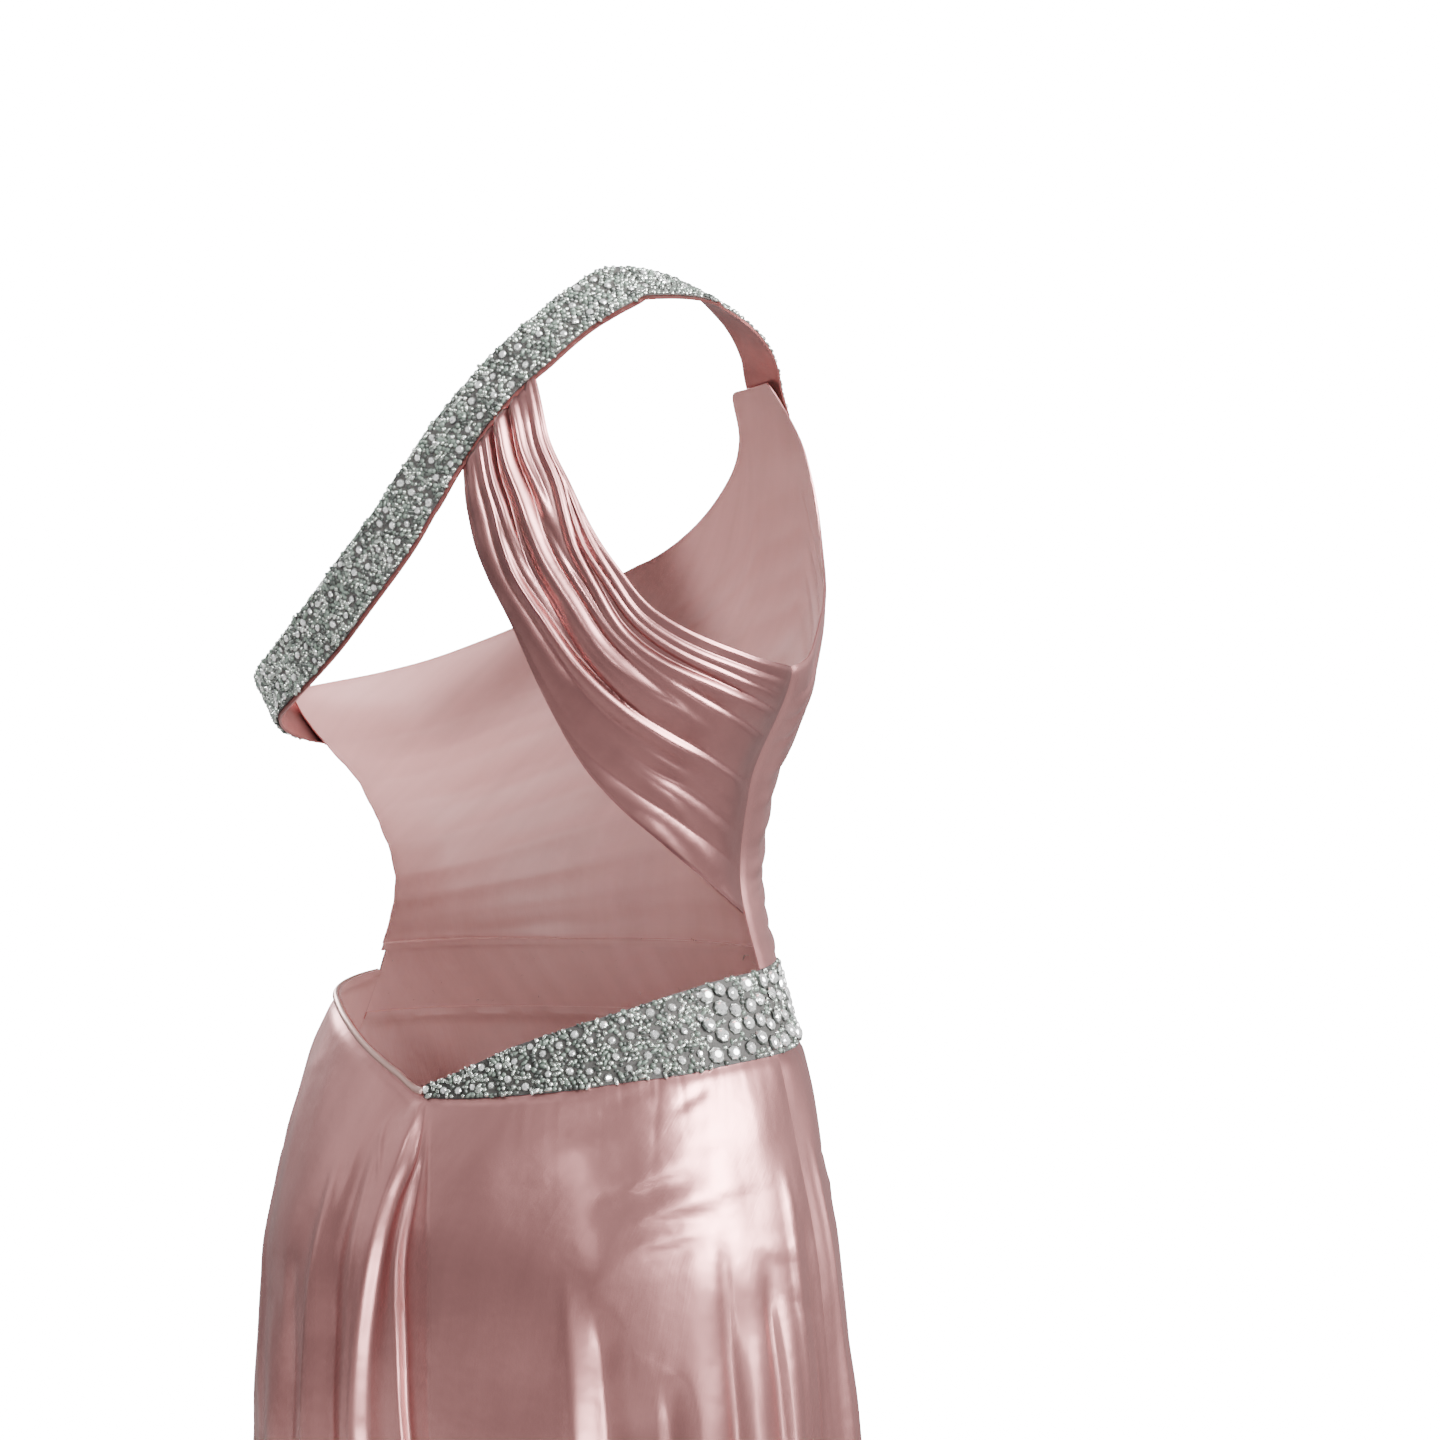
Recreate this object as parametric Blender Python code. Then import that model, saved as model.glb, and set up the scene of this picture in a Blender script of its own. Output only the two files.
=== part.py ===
"""One-shoulder party dress: a satin gown with a low open back, in metres, +Z up.

Each piece follows one smooth general figure, given as rings. A place on it is an angle and a
height. The angle is 0 at the centre back and grows towards the wearer's right: 90 at the right
side, 180 at the centre front, 270 (or -90) at the left side. Heights are measured from the waist.
At the end everything is moved so that the origin lies under the shoulder strap, where the wearer
carries the dress. The front faces -Y and the wearer's left is +X.
"""

import math

import bmesh
import bpy
import numpy as np

DRESS = "one_shoulder_dress"

# Driving sizes
SEAM_GAP = 0.0003
HALF_SEAM_ANGLE = 0.065
CLOTH = 0.0016
CLOTH_OUT = 0.0010
BACKING_WALL = 0.0012
BACKING_MARGIN = 0.0020
STRAP_WALL = 0.0028
STRAP_CROWN = 0.0006
BAND_WALL = 0.0030
BINDING_WIDTH = 0.0035
BINDING_WALL = 0.0012
BINDING_ROLL = 0.0014
DRAPE_TUCK = -0.0010
DRAPE_LEAVES_STRAP = (0.08, 0.15)
FRONT_FLAT_TOP = 0.12
HEM_HEIGHT = -1.040
YOKE_LEVEL, YOKE_FOOT = -0.100, -0.160
ROW_CROWDING = 1.2
SHARP_ANGLE = 60.0
FULL_TURN = 360.0
LEFT_SEAM, RIGHT_SEAM = -90.0, 90.0
LOW_BACK_ANGLE, LOW_BACK_GAP = -1.9, 0.2
DRAPE_SEAM = 93.0
BODICE_LEFT_EDGE = 272.0
SEAT_ANGLE, SEAT_HEIGHT, SEAT_OUT = 88.0, 0.3115, 0.0016

# Grid counts: rows run up a piece, columns run along or round it
SKIRT_GRID = (12, 60)
BODICE_GRID = (15, 40)
DRAPE_GRID = (38, 15)
STRAP_ROWS, STRAP_COLUMNS = 4, 46
BAND_GRID = (3, 72)
BINDING_GRID = (3, 26)

# Colours: red, green, blue, in Blender's linear values
SATIN = (0.430, 0.205, 0.210)
SATIN_DEEP = (0.330, 0.120, 0.125)
SILVER = (0.330, 0.350, 0.320)
SATIN_ROUGHNESS, SATIN_SHEEN = 0.32, 0.4
BEAD_ROUGHNESS, BEAD_METALLIC = 0.3, 0.8


def table(columns, *rows):
    """A short table as a dictionary: one array for each named column."""
    return dict(zip(columns.split(), np.array(rows, float).T))


FIGURE = table(
    "height centre_x centre_y half_width back front squareness",
    (-1.040, 0.000, 0.020, 0.257, 0.231, 0.184, 2.1),
    (-0.900, 0.000, 0.016, 0.235, 0.201, 0.166, 2.1),
    (-0.700, -0.002, 0.012, 0.208, 0.163, 0.137, 2.2),
    (-0.500, -0.004, 0.008, 0.187, 0.134, 0.112, 2.3),
    (-0.340, -0.005, 0.006, 0.174, 0.119, 0.096, 2.3),
    (-0.270, -0.005, 0.008, 0.169, 0.123, 0.094, 2.3),
    (-0.200, -0.005, 0.010, 0.163, 0.126, 0.095, 2.3),
    (-0.150, -0.004, 0.010, 0.154, 0.118, 0.096, 2.3),
    (-0.100, -0.003, 0.008, 0.142, 0.103, 0.094, 2.3),
    (-0.050, -0.002, 0.004, 0.124, 0.088, 0.088, 2.3),
    (0.000, 0.000, 0.000, 0.111, 0.080, 0.082, 2.3),
    (0.050, 0.005, 0.004, 0.124, 0.082, 0.089, 2.3),
    (0.110, 0.015, 0.012, 0.164, 0.087, 0.108, 2.3),
    (0.170, 0.014, 0.018, 0.172, 0.091, 0.122, 2.3),
    (0.230, 0.012, 0.024, 0.170, 0.088, 0.108, 2.3),
    (0.275, 0.011, 0.028, 0.158, 0.078, 0.084, 2.1),
    (0.307, 0.010, 0.030, 0.117, 0.065, 0.067, 2.0),
    (0.329, 0.009, 0.030, 0.076, 0.061, 0.061, 2.0),
    (0.348, 0.008, 0.030, 0.058, 0.057, 0.057, 2.0),
)

# Top edge of the skirt, all round, and how tall the beaded band above it is
WAIST_SEAM = table(
    "angle height",
    (-90.0, -0.0554),
    (-65.0, -0.0628),
    (-46.0, -0.0695),
    (-33.5, -0.0782),
    (-19.0, -0.0922),
    (-8.5, -0.1036),
    (LOW_BACK_ANGLE, -0.1117),
    (5.5, -0.1112),
    (13.5, -0.1093),
    (26.5, -0.1062),
    (42.5, -0.1012),
    (60.0, -0.0973),
    (69.0, -0.0945),
    (90.0, -0.0905),
    (120.0, -0.0845),
    (150.0, -0.0800),
    (180.0, -0.0780),
    (225.0, -0.0780),
    (270.0, -0.0800),
)
BAND_HEIGHT = table(
    "angle tall",
    (LOW_BACK_ANGLE, 0.0053),
    (6.0, 0.0156),
    (14.0, 0.0228),
    (27.0, 0.0298),
    (42.5, 0.0343),
    (60.0, 0.0394),
    (88.0, 0.0415),
    (150.0, 0.0430),
    (270.0, 0.0430),
)

# Path of the strap's middle, from the left underarm over the right shoulder to the front.
# out is the room between the figure and the strap's backing.
STRAP_PATH = table(
    "angle height width out",
    (-98.0, 0.0945, 0.030, 0.0036),
    (-80.0, 0.0985, 0.030, 0.0034),
    (-62.0, 0.1045, 0.031, 0.0020),
    (-43.7, 0.1128, 0.031, 0.0013),
    (-23.9, 0.1348, 0.033, 0.0013),
    (-11.7, 0.1609, 0.033, 0.0013),
    (-3.4, 0.1867, 0.032, 0.0013),
    (3.5, 0.2230, 0.029, 0.0013),
    (10.5, 0.2470, 0.027, 0.0013),
    (20.9, 0.2712, 0.028, 0.0013),
    (39.0, 0.2969, 0.031, 0.0014),
    (62.0, 0.3105, 0.032, 0.0015),
    (96.0, 0.3110, 0.033, 0.0018),
    (120.0, 0.2935, 0.032, 0.0030),
    (133.0, 0.2745, 0.031, 0.0036),
    (138.0, 0.2565, 0.031, 0.0036),
)

# The two long edges of the back drape, from under the strap (0) to the right side (1)
DRAPE_EDGES = table(
    "along upper_angle upper_height lower_angle lower_height",
    (0.00, 21.6, 0.2692, 6.6, 0.2250),
    (0.05, 22.4, 0.2588, 7.2, 0.2140),
    (0.15, 23.8, 0.2308, 7.8, 0.1975),
    (0.27, 29.0, 0.2001, 9.2, 0.1770),
    (0.38, 34.3, 0.1739, 11.6, 0.1566),
    (0.48, 39.2, 0.1567, 16.0, 0.1308),
    (0.58, 45.5, 0.1401, 22.2, 0.0942),
    (0.68, 56.5, 0.1268, 30.6, 0.0637),
    (0.78, 69.0, 0.1188, 41.5, 0.0405),
    (0.89, 81.0, 0.1142, 60.0, 0.0165),
    (1.00, 93.0, 0.1123, 93.0, -0.0180),
)

# Pleats of the drape: place across it (0 upper edge, 1 lower edge) and rise at its top,
# middle and side end, and half width
PLEATS = table(
    "top middle side rise_top rise_middle rise_side half",
    (0.030, 0.100, 0.090, 0.0010, 0.0018, 0.0018, 0.022),
    (0.060, 0.150, 0.140, 0.0014, 0.0022, 0.0020, 0.026),
    (0.100, 0.250, 0.210, 0.0028, 0.0038, 0.0034, 0.040),
    (0.340, 0.330, 0.330, 0.0036, 0.0000, 0.0000, 0.045),
    (0.360, 0.345, 0.320, 0.0000, 0.0028, 0.0034, 0.035),
    (0.500, 0.480, 0.390, 0.0050, 0.0044, 0.0034, 0.060),
    (0.660, 0.660, 0.600, 0.0034, 0.0008, 0.0000, 0.040),
    (0.640, 0.580, 0.460, 0.0000, 0.0024, 0.0000, 0.030),
    (0.750, 0.720, 0.500, 0.0038, 0.0046, 0.0038, 0.045),
    (0.860, 0.860, 0.620, 0.0024, 0.0022, 0.0026, 0.055),
    (0.980, 0.940, 0.770, 0.0000, 0.0006, 0.0028, 0.050),
    (1.050, 1.030, 0.900, 0.0000, 0.0000, 0.0020, 0.040),
)

# Neckline and armhole of the front, from the right side seam (0) to the left edge (1)
FRONT_TOP = table(
    "along angle height",
    (0.00, 93.0, 0.1123),
    (0.08, 101.0, 0.1190),
    (0.16, 111.0, 0.1450),
    (0.24, 119.5, 0.1880),
    (0.31, 125.0, 0.2310),
    (0.37, 129.0, 0.2705),
    (0.44, 144.0, 0.2705),
    (0.50, 151.0, 0.2470),
    (0.60, 168.0, 0.2070),
    (0.72, 195.0, 0.1670),
    (0.85, 232.0, 0.1310),
    (1.00, 272.0, 0.1120),
)

# Soft folds across the front, which go on from the drape: place up the piece at the right
# side seam, the middle and the left edge, rise at the seam and at the left edge, half width
FRONT_FOLDS = table(
    "seam middle left rise_seam rise_left half",
    (0.94, 0.72, 0.80, 0.0020, 0.0000, 0.030),
    (0.87, 0.62, 0.66, 0.0024, 0.0006, 0.034),
    (0.79, 0.54, 0.58, 0.0036, 0.0010, 0.040),
    (0.70, 0.47, 0.47, 0.0034, 0.0008, 0.040),
    (0.61, 0.40, 0.38, 0.0034, 0.0010, 0.040),
    (0.50, 0.32, 0.30, 0.0036, 0.0012, 0.044),
    (0.36, 0.24, 0.21, 0.0032, 0.0010, 0.042),
    (0.22, 0.15, 0.13, 0.0028, 0.0008, 0.040),
    (0.08, 0.06, 0.05, 0.0018, 0.0004, 0.036),
)

# Hanging folds of the skirt: angle near the top, at MID_SKIRT and at the hem, the height where
# the fold begins, its rise at MID_SKIRT and at the hem, and its half width in degrees there
MID_SKIRT, FOLD_TOP = -0.300, -0.120
SKIRT_FOLDS = table(
    "top middle hem begins rise_middle rise_hem half_middle half_hem",
    (-74.0, -75.0, -78.0, -0.20, 0.0050, 0.0260, 6.0, 7.5),
    (-57.0, -56.0, -58.0, -0.18, 0.0040, 0.0280, 7.0, 7.5),
    (-40.0, -39.0, -40.0, -0.22, 0.0040, 0.0300, 5.0, 7.0),
    (-17.0, -16.0, -23.0, -0.15, 0.0070, 0.0300, 3.0, 6.0),
    (-2.8, -9.6, -8.0, -0.10, 0.0110, 0.0340, 3.4, 5.5),
    (1.0, 1.2, 1.0, -0.12, -0.0060, -0.0120, 2.2, 4.0),
    (28.0, 26.5, 13.0, -0.20, 0.0035, 0.0300, 5.0, 6.5),
    (44.0, 41.0, 33.0, -0.26, 0.0020, 0.0280, 6.0, 7.0),
    (57.0, 52.0, 52.0, -0.18, 0.0060, 0.0320, 5.0, 7.0),
    (72.0, 66.0, 69.0, -0.17, 0.0060, 0.0280, 3.8, 6.5),
    (80.0, 76.0, 84.0, -0.17, 0.0060, 0.0260, 3.6, 6.5),
    (101.0, 100.0, 101.0, -0.20, 0.0050, 0.0280, 5.0, 7.5),
    (118.0, 118.0, 119.0, -0.24, 0.0030, 0.0300, 6.0, 7.5),
    (136.0, 137.0, 138.0, -0.28, 0.0020, 0.0280, 6.0, 7.5),
    (155.0, 156.0, 156.0, -0.22, 0.0040, 0.0320, 5.5, 7.5),
    (174.0, 174.0, 175.0, -0.29, 0.0010, 0.0260, 6.0, 7.5),
    (193.0, 193.0, 193.0, -0.26, 0.0025, 0.0300, 6.0, 7.5),
    (211.0, 210.0, 212.0, -0.22, 0.0035, 0.0280, 6.0, 7.5),
    (229.0, 228.0, 231.0, -0.28, 0.0020, 0.0300, 6.0, 7.5),
    (248.0, 249.0, 251.0, -0.20, 0.0045, 0.0280, 6.0, 7.5),
)


def smooth(places, values, at):
    """A cubic curve through the values that makes no humps of its own, held flat past its ends."""
    step = np.diff(places)
    rise = np.diff(values) / step
    slope = np.zeros(len(places))
    slope[0], slope[-1] = rise[0], rise[-1]
    before, after = 2 * step[1:] + step[:-1], step[1:] + 2 * step[:-1]
    same_way = rise[1:] * rise[:-1] > 0
    safe = np.where(same_way[:, None], np.stack([rise[:-1], rise[1:]], 1), 1.0)
    mean = (before + after) / (before / safe[:, 0] + after / safe[:, 1])
    slope[1:-1] = np.where(same_way, mean, 0.0)
    at = np.clip(at, places[0], places[-1])
    row = np.clip(np.searchsorted(places, at) - 1, 0, len(step) - 1)
    t = (at - places[row]) / step[row]
    start = values[row] * (1 + 2 * t) * (1 - t) ** 2 + step[row] * slope[row] * t * (1 - t) ** 2
    end = values[row + 1] * (3 - 2 * t) * t**2 - step[row] * slope[row + 1] * (1 - t) * t**2
    return start + end


def ease(value, low, high):
    """0 below low, 1 above high, with a soft change between."""
    t = np.clip((value - low) / (high - low), 0.0, 1.0)
    return t * t * (3 - 2 * t)


def figure_ring(angle, height):
    """Points of the figure itself."""
    rings = {name: smooth(FIGURE["height"], FIGURE[name], height) for name in FIGURE}
    turn = np.radians(angle)
    side, back = np.sin(turn), np.cos(turn)
    power = 2 / rings["squareness"]
    depth = np.where(back > 0, rings["back"], rings["front"])
    x = rings["centre_x"] - rings["half_width"] * np.sign(side) * np.abs(side) ** power
    y = rings["centre_y"] + depth * np.sign(back) * np.abs(back) ** power
    return np.stack(np.broadcast_arrays(x, y, height), -1)


def unit(vectors):
    return vectors / np.linalg.norm(vectors, axis=-1, keepdims=True)


def figure_normal(angle, height):
    """Outward direction of the figure, taken over a small patch."""
    turn, climb = 1.5, 0.002
    round_it = figure_ring(angle + turn, height) - figure_ring(angle - turn, height)
    up_it = figure_ring(angle, height + climb) - figure_ring(angle, height - climb)
    return unit(np.cross(round_it, up_it))


def on_figure(angle, height, out=0.0):
    """Points at an angle and a height, moved out from the figure."""
    angle, height, out = np.broadcast_arrays(angle, height, out)
    return figure_ring(angle, height) + figure_normal(angle, height) * out[..., None]


def bump(distance, half_width):
    """A soft ridge of height 1."""
    return np.exp(-((distance / half_width) ** 2))


def grid(counts):
    """Rows and columns of a piece, each from 0 to 1."""
    rows, columns = counts
    return np.meshgrid(np.linspace(0, 1, rows + 1), np.linspace(0, 1, columns + 1), indexing="ij")


def surface(name, colour, roughness, metallic=0.0, sheen=0.0):
    material = bpy.data.materials.new(name)
    material.use_nodes = True
    shader = material.node_tree.nodes["Principled BSDF"]
    shader.inputs["Base Color"].default_value = (*colour, 1.0)
    shader.inputs["Roughness"].default_value = roughness
    shader.inputs["Metallic"].default_value = metallic
    shader.inputs["Sheen Weight"].default_value = sheen
    return material


def satin(name, colour=SATIN):
    return surface(name, colour, SATIN_ROUGHNESS, sheen=SATIN_SHEEN)


def beads(name):
    return surface(name, SILVER, BEAD_ROUGHNESS, metallic=BEAD_METALLIC)


def wall(name, material, outer, inner):
    """A closed cloth wall between two grids of points of the same shape, with its four rims."""
    rows, columns = outer.shape[:2]
    count = rows * columns

    def corner(row, column, layer):
        return row * columns + column + layer * count

    faces = []
    for row in range(rows - 1):
        for column in range(columns - 1):
            for layer in (0, 1):
                square = [(0, 0), (0, 1), (1, 1), (1, 0)]
                faces.append([corner(row + r, column + c, layer) for r, c in square])
    for column in range(columns - 1):
        for row in (0, rows - 1):
            ends = [(column, 0), (column + 1, 0), (column + 1, 1), (column, 1)]
            faces.append([corner(row, c, layer) for c, layer in ends])
    for row in range(rows - 1):
        for column in (0, columns - 1):
            ends = [(row, 0), (row + 1, 0), (row + 1, 1), (row, 1)]
            faces.append([corner(r, column, layer) for r, layer in ends])
    points = np.concatenate([outer.reshape(-1, 3), inner.reshape(-1, 3)]) - SEAT
    mesh = bpy.data.meshes.new(name)
    mesh.from_pydata(points.tolist(), [], faces)
    shaped = bmesh.new()
    shaped.from_mesh(mesh)
    bmesh.ops.recalc_face_normals(shaped, faces=shaped.faces)
    shaped.to_mesh(mesh)
    shaped.free()
    mesh.shade_smooth()
    mesh.set_sharp_from_angle(angle=math.radians(SHARP_ANGLE))
    mesh.materials.append(material)
    piece = bpy.data.objects.new(name, mesh)
    bpy.data.collections[DRESS].objects.link(piece)
    return piece


def waist_seam(angle):
    return smooth(WAIST_SEAM["angle"], WAIST_SEAM["height"], angle)


def band_top(angle):
    return waist_seam(angle) + SEAM_GAP + smooth(BAND_HEIGHT["angle"], BAND_HEIGHT["tall"], angle)


def skirt_folds(angle, height):
    """How far the hanging folds push the skirt out."""
    folds = SKIRT_FOLDS
    levels = np.array([HEM_HEIGHT, MID_SKIRT, FOLD_TOP])
    rise = np.zeros(np.shape(angle))
    for row in range(len(folds["top"])):
        middle, hem, begins = folds["middle"][row], folds["hem"][row], folds["begins"][row]
        centre = smooth(levels, np.array([hem, middle, folds["top"][row]]), height)
        down = np.clip((MID_SKIRT - height) / (MID_SKIRT - HEM_HEIGHT), 0.0, 1.0)
        half = folds["half_middle"][row] * (1 - down) + folds["half_hem"][row] * down
        lower_rise = folds["rise_middle"][row] * (1 - down) + folds["rise_hem"][row] * down
        upper_rise = folds["rise_middle"][row] * ease(-height, -begins, -MID_SKIRT)
        push = np.where(height < MID_SKIRT, lower_rise, upper_rise)
        away = (angle - centre + FULL_TURN / 2) % FULL_TURN - FULL_TURN / 2
        rise += push * bump(away, half)
    return rise


def skirt_panel(name, material, first_angle, last_angle):
    """Half of the skirt, between two side seams."""
    up, across = grid(SKIRT_GRID)
    first, last = first_angle + HALF_SEAM_ANGLE, last_angle - HALF_SEAM_ANGLE
    angle = first + (last - first) * across
    level = YOKE_LEVEL + (HEM_HEIGHT - YOKE_LEVEL) * (1 - up) ** ROW_CROWDING
    height = level + (waist_seam(angle) - YOKE_LEVEL) * ease(level, YOKE_FOOT, YOKE_LEVEL)
    out = CLOTH_OUT + skirt_folds(angle, height)
    outer = on_figure(angle, height, out + CLOTH)
    return wall(name, material, outer, on_figure(angle, height, out))


def waist_band(material):
    up, across = grid(BAND_GRID)
    first = LOW_BACK_ANGLE + LOW_BACK_GAP
    last = LEFT_SEAM + FULL_TURN - HALF_SEAM_ANGLE
    angle = first + (last - first) * across
    height = waist_seam(angle) + SEAM_GAP
    height = height + (band_top(angle) - height) * up
    outer = on_figure(angle, height, CLOTH_OUT + BAND_WALL)
    return wall("waist_band", material, outer, on_figure(angle, height, CLOTH_OUT))


def back_binding(material):
    """Narrow rolled edge along the left side of the low back."""
    up, across = grid(BINDING_GRID)
    first, last = LEFT_SEAM + HALF_SEAM_ANGLE, LOW_BACK_ANGLE
    angle = first + (last - first) * across
    height = waist_seam(angle) + SEAM_GAP + BINDING_WIDTH * up
    roll = BINDING_ROLL * np.sin(np.pi * up)
    outer = on_figure(angle, height, CLOTH_OUT + BINDING_WALL + roll)
    return wall("back_binding", material, outer, on_figure(angle, height, CLOTH_OUT))


def strap_ribbon(places, inner_gap, thickness, crown):
    """Outer and inner points of a ribbon along the strap's path.

    places holds (part of the half width, extra width) for each line across, upper edge first.
    """
    path = STRAP_PATH
    rows = on_figure(path["angle"], path["height"])
    run = np.concatenate([[0.0], np.cumsum(np.linalg.norm(np.diff(rows, axis=0), axis=1))])
    run_at = np.linspace(0.0, run[-1], STRAP_COLUMNS + 1)
    angle, height, width, out = (smooth(run, path[name], run_at) for name in path)
    middle = on_figure(angle, height, out)
    normal = figure_normal(angle, height)
    side = unit(np.cross(unit(np.gradient(middle, axis=0)), normal))
    part, extra = (np.array(column)[:, None] for column in zip(*places))
    inner = middle + side * (part * width / 2 + extra)[..., None] + normal * inner_gap
    outer = inner + normal * (thickness + crown * (1 - np.abs(part)))[..., None]
    return outer, inner


def strap_places():
    return [(part, 0.0) for part in np.linspace(-1.0, 1.0, STRAP_ROWS + 1)]


def shoulder_strap(material):
    gap = BACKING_WALL + SEAM_GAP
    outer, inner = strap_ribbon(strap_places(), gap, STRAP_WALL, STRAP_CROWN)
    return wall("shoulder_strap", material, outer, inner)


def strap_backing(material):
    """Cloth under the beads, a little wider than them along the lower edge."""
    places = [*strap_places(), (1.0, BACKING_MARGIN)]
    outer, inner = strap_ribbon(places, 0.0, BACKING_WALL, 0.0)
    return wall("strap_backing", material, outer, inner)


def drape_pleats(along, across):
    """How far the pleats push the drape out."""
    ends = np.array([0.0, 0.5, 1.0])
    rise = np.zeros(np.shape(along))
    for row in range(len(PLEATS["top"])):
        places = np.array([PLEATS[name][row] for name in ("top", "middle", "side")])
        rises = np.array([PLEATS[f"rise_{name}"][row] for name in ("top", "middle", "side")])
        centre = smooth(ends, places, along)
        rise += smooth(ends, rises, along) * bump(across - centre, PLEATS["half"][row])
    return rise


def back_drape(material):
    """Pleated panel that hangs from the strap to the right side seam."""
    across, along = grid(DRAPE_GRID)
    edge = {name: smooth(DRAPE_EDGES["along"], DRAPE_EDGES[name], along) for name in DRAPE_EDGES}
    last = DRAPE_SEAM - HALF_SEAM_ANGLE
    angle = edge["upper_angle"] * (1 - across) + edge["lower_angle"] * across
    height = edge["upper_height"] * (1 - across) + edge["lower_height"] * across
    tucked = ease(along, *DRAPE_LEAVES_STRAP)
    out = DRAPE_TUCK + (CLOTH_OUT - DRAPE_TUCK + drape_pleats(along, across)) * tucked
    angle = np.minimum(angle, last)
    outer = on_figure(angle, height, out + CLOTH)
    return wall("back_drape", material, outer, on_figure(angle, height, out))


def front_folds(along, up):
    """How far the soft folds push the front out."""
    ends = np.array([0.0, 0.5, 1.0])
    rise = np.zeros(np.shape(along))
    for row in range(len(FRONT_FOLDS["seam"])):
        places = np.array([FRONT_FOLDS[name][row] for name in ("seam", "middle", "left")])
        start, end = FRONT_FOLDS["rise_seam"][row], FRONT_FOLDS["rise_left"][row]
        push = start + (end - start) * along
        rise += push * bump(up - smooth(ends, places, along), FRONT_FOLDS["half"][row])
    return rise


def bodice_front(material):
    """Front panel, from the right side seam to the left edge, up to the shoulder strap."""
    up, along = grid(BODICE_GRID)
    first, last = DRAPE_SEAM + HALF_SEAM_ANGLE, BODICE_LEFT_EDGE
    low_angle = first + (last - first) * along
    top_angle = np.maximum(smooth(FRONT_TOP["along"], FRONT_TOP["angle"], along), first)
    top = smooth(FRONT_TOP["along"], FRONT_TOP["height"], along)
    low = band_top(low_angle) + SEAM_GAP
    angle = low_angle + (top_angle - low_angle) * up
    height = low + (top - low) * up
    out = CLOTH_OUT + front_folds(along, up) * ease(1 - up, 0.0, FRONT_FLAT_TOP)
    outer = on_figure(angle, height, out + CLOTH)
    return wall("bodice_front", material, outer, on_figure(angle, height, out))


def clear_scene():
    for piece in list(bpy.data.objects):
        bpy.data.objects.remove(piece, do_unlink=True)


SEAT = on_figure(SEAT_ANGLE, SEAT_HEIGHT, SEAT_OUT)


def main():
    clear_scene()
    collection = bpy.data.collections.new(DRESS)
    bpy.context.scene.collection.children.link(collection)
    skirt_panel("skirt_back", satin("skirt_back"), LEFT_SEAM, RIGHT_SEAM)
    skirt_panel("skirt_front", satin("skirt_front"), RIGHT_SEAM, LEFT_SEAM + FULL_TURN)
    bodice_front(satin("bodice_front"))
    back_drape(satin("back_drape"))
    waist_band(beads("waist_band"))
    back_binding(satin("back_binding"))
    shoulder_strap(beads("shoulder_strap"))
    strap_backing(satin("strap_backing", SATIN_DEEP))


main()
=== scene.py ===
"""Looks of the one-shoulder party dress: satin, pleats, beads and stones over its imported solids.

A place on the general figure is an angle and a height, as in the part's source. The angle is 0 at
the centre back and grows towards the wearer's right: 90 at the right side, 180 at the centre
front, 270 (or -90) at the left side. Heights are measured from the waist, in metres.
"""

import math

import bmesh
import bpy
import numpy as np
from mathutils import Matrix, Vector

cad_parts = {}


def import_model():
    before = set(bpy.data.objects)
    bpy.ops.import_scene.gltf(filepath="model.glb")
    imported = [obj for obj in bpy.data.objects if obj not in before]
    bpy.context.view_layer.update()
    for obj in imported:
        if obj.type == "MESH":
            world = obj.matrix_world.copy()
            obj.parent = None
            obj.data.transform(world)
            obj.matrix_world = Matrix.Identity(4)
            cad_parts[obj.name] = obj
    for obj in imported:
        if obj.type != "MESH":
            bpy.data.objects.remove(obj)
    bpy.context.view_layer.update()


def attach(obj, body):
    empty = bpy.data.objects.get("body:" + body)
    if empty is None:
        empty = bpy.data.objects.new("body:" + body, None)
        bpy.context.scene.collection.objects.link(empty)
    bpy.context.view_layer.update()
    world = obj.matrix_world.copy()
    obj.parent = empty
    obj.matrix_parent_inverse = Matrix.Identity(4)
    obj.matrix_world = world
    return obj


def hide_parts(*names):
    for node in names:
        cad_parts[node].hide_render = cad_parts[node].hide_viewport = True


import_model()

# Driving sizes, as in the part's source
SEAM_GAP = 0.0003
HALF_SEAM_ANGLE = 0.065
CLOTH = 0.0016
CLOTH_OUT = 0.0010
BACKING_WALL = 0.0012
BACKING_MARGIN = 0.0020
DRAPE_TUCK = -0.0010
DRAPE_LEAVES_STRAP = (0.018, 0.060)
FRONT_FLAT_TOP, FRONT_FLAT_SIDE = 0.12, 0.12
DRAPE_FLAT_SIDE, DRAPE_LONG = 0.06, 0.27
HEM_HEIGHT = -1.040
YOKE_LEVEL, YOKE_FOOT = -0.100, -0.160
FULL_TURN = 360.0
LEFT_SEAM, RIGHT_SEAM = -90.0, 90.0
LOW_BACK_ANGLE, LOW_BACK_GAP = -1.9, 0.2
DRAPE_SEAM = 93.0
BODICE_LEFT_EDGE = 272.0
SEAT_ANGLE, SEAT_HEIGHT, SEAT_OUT = 88.0, 0.3115, 0.0016

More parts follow.
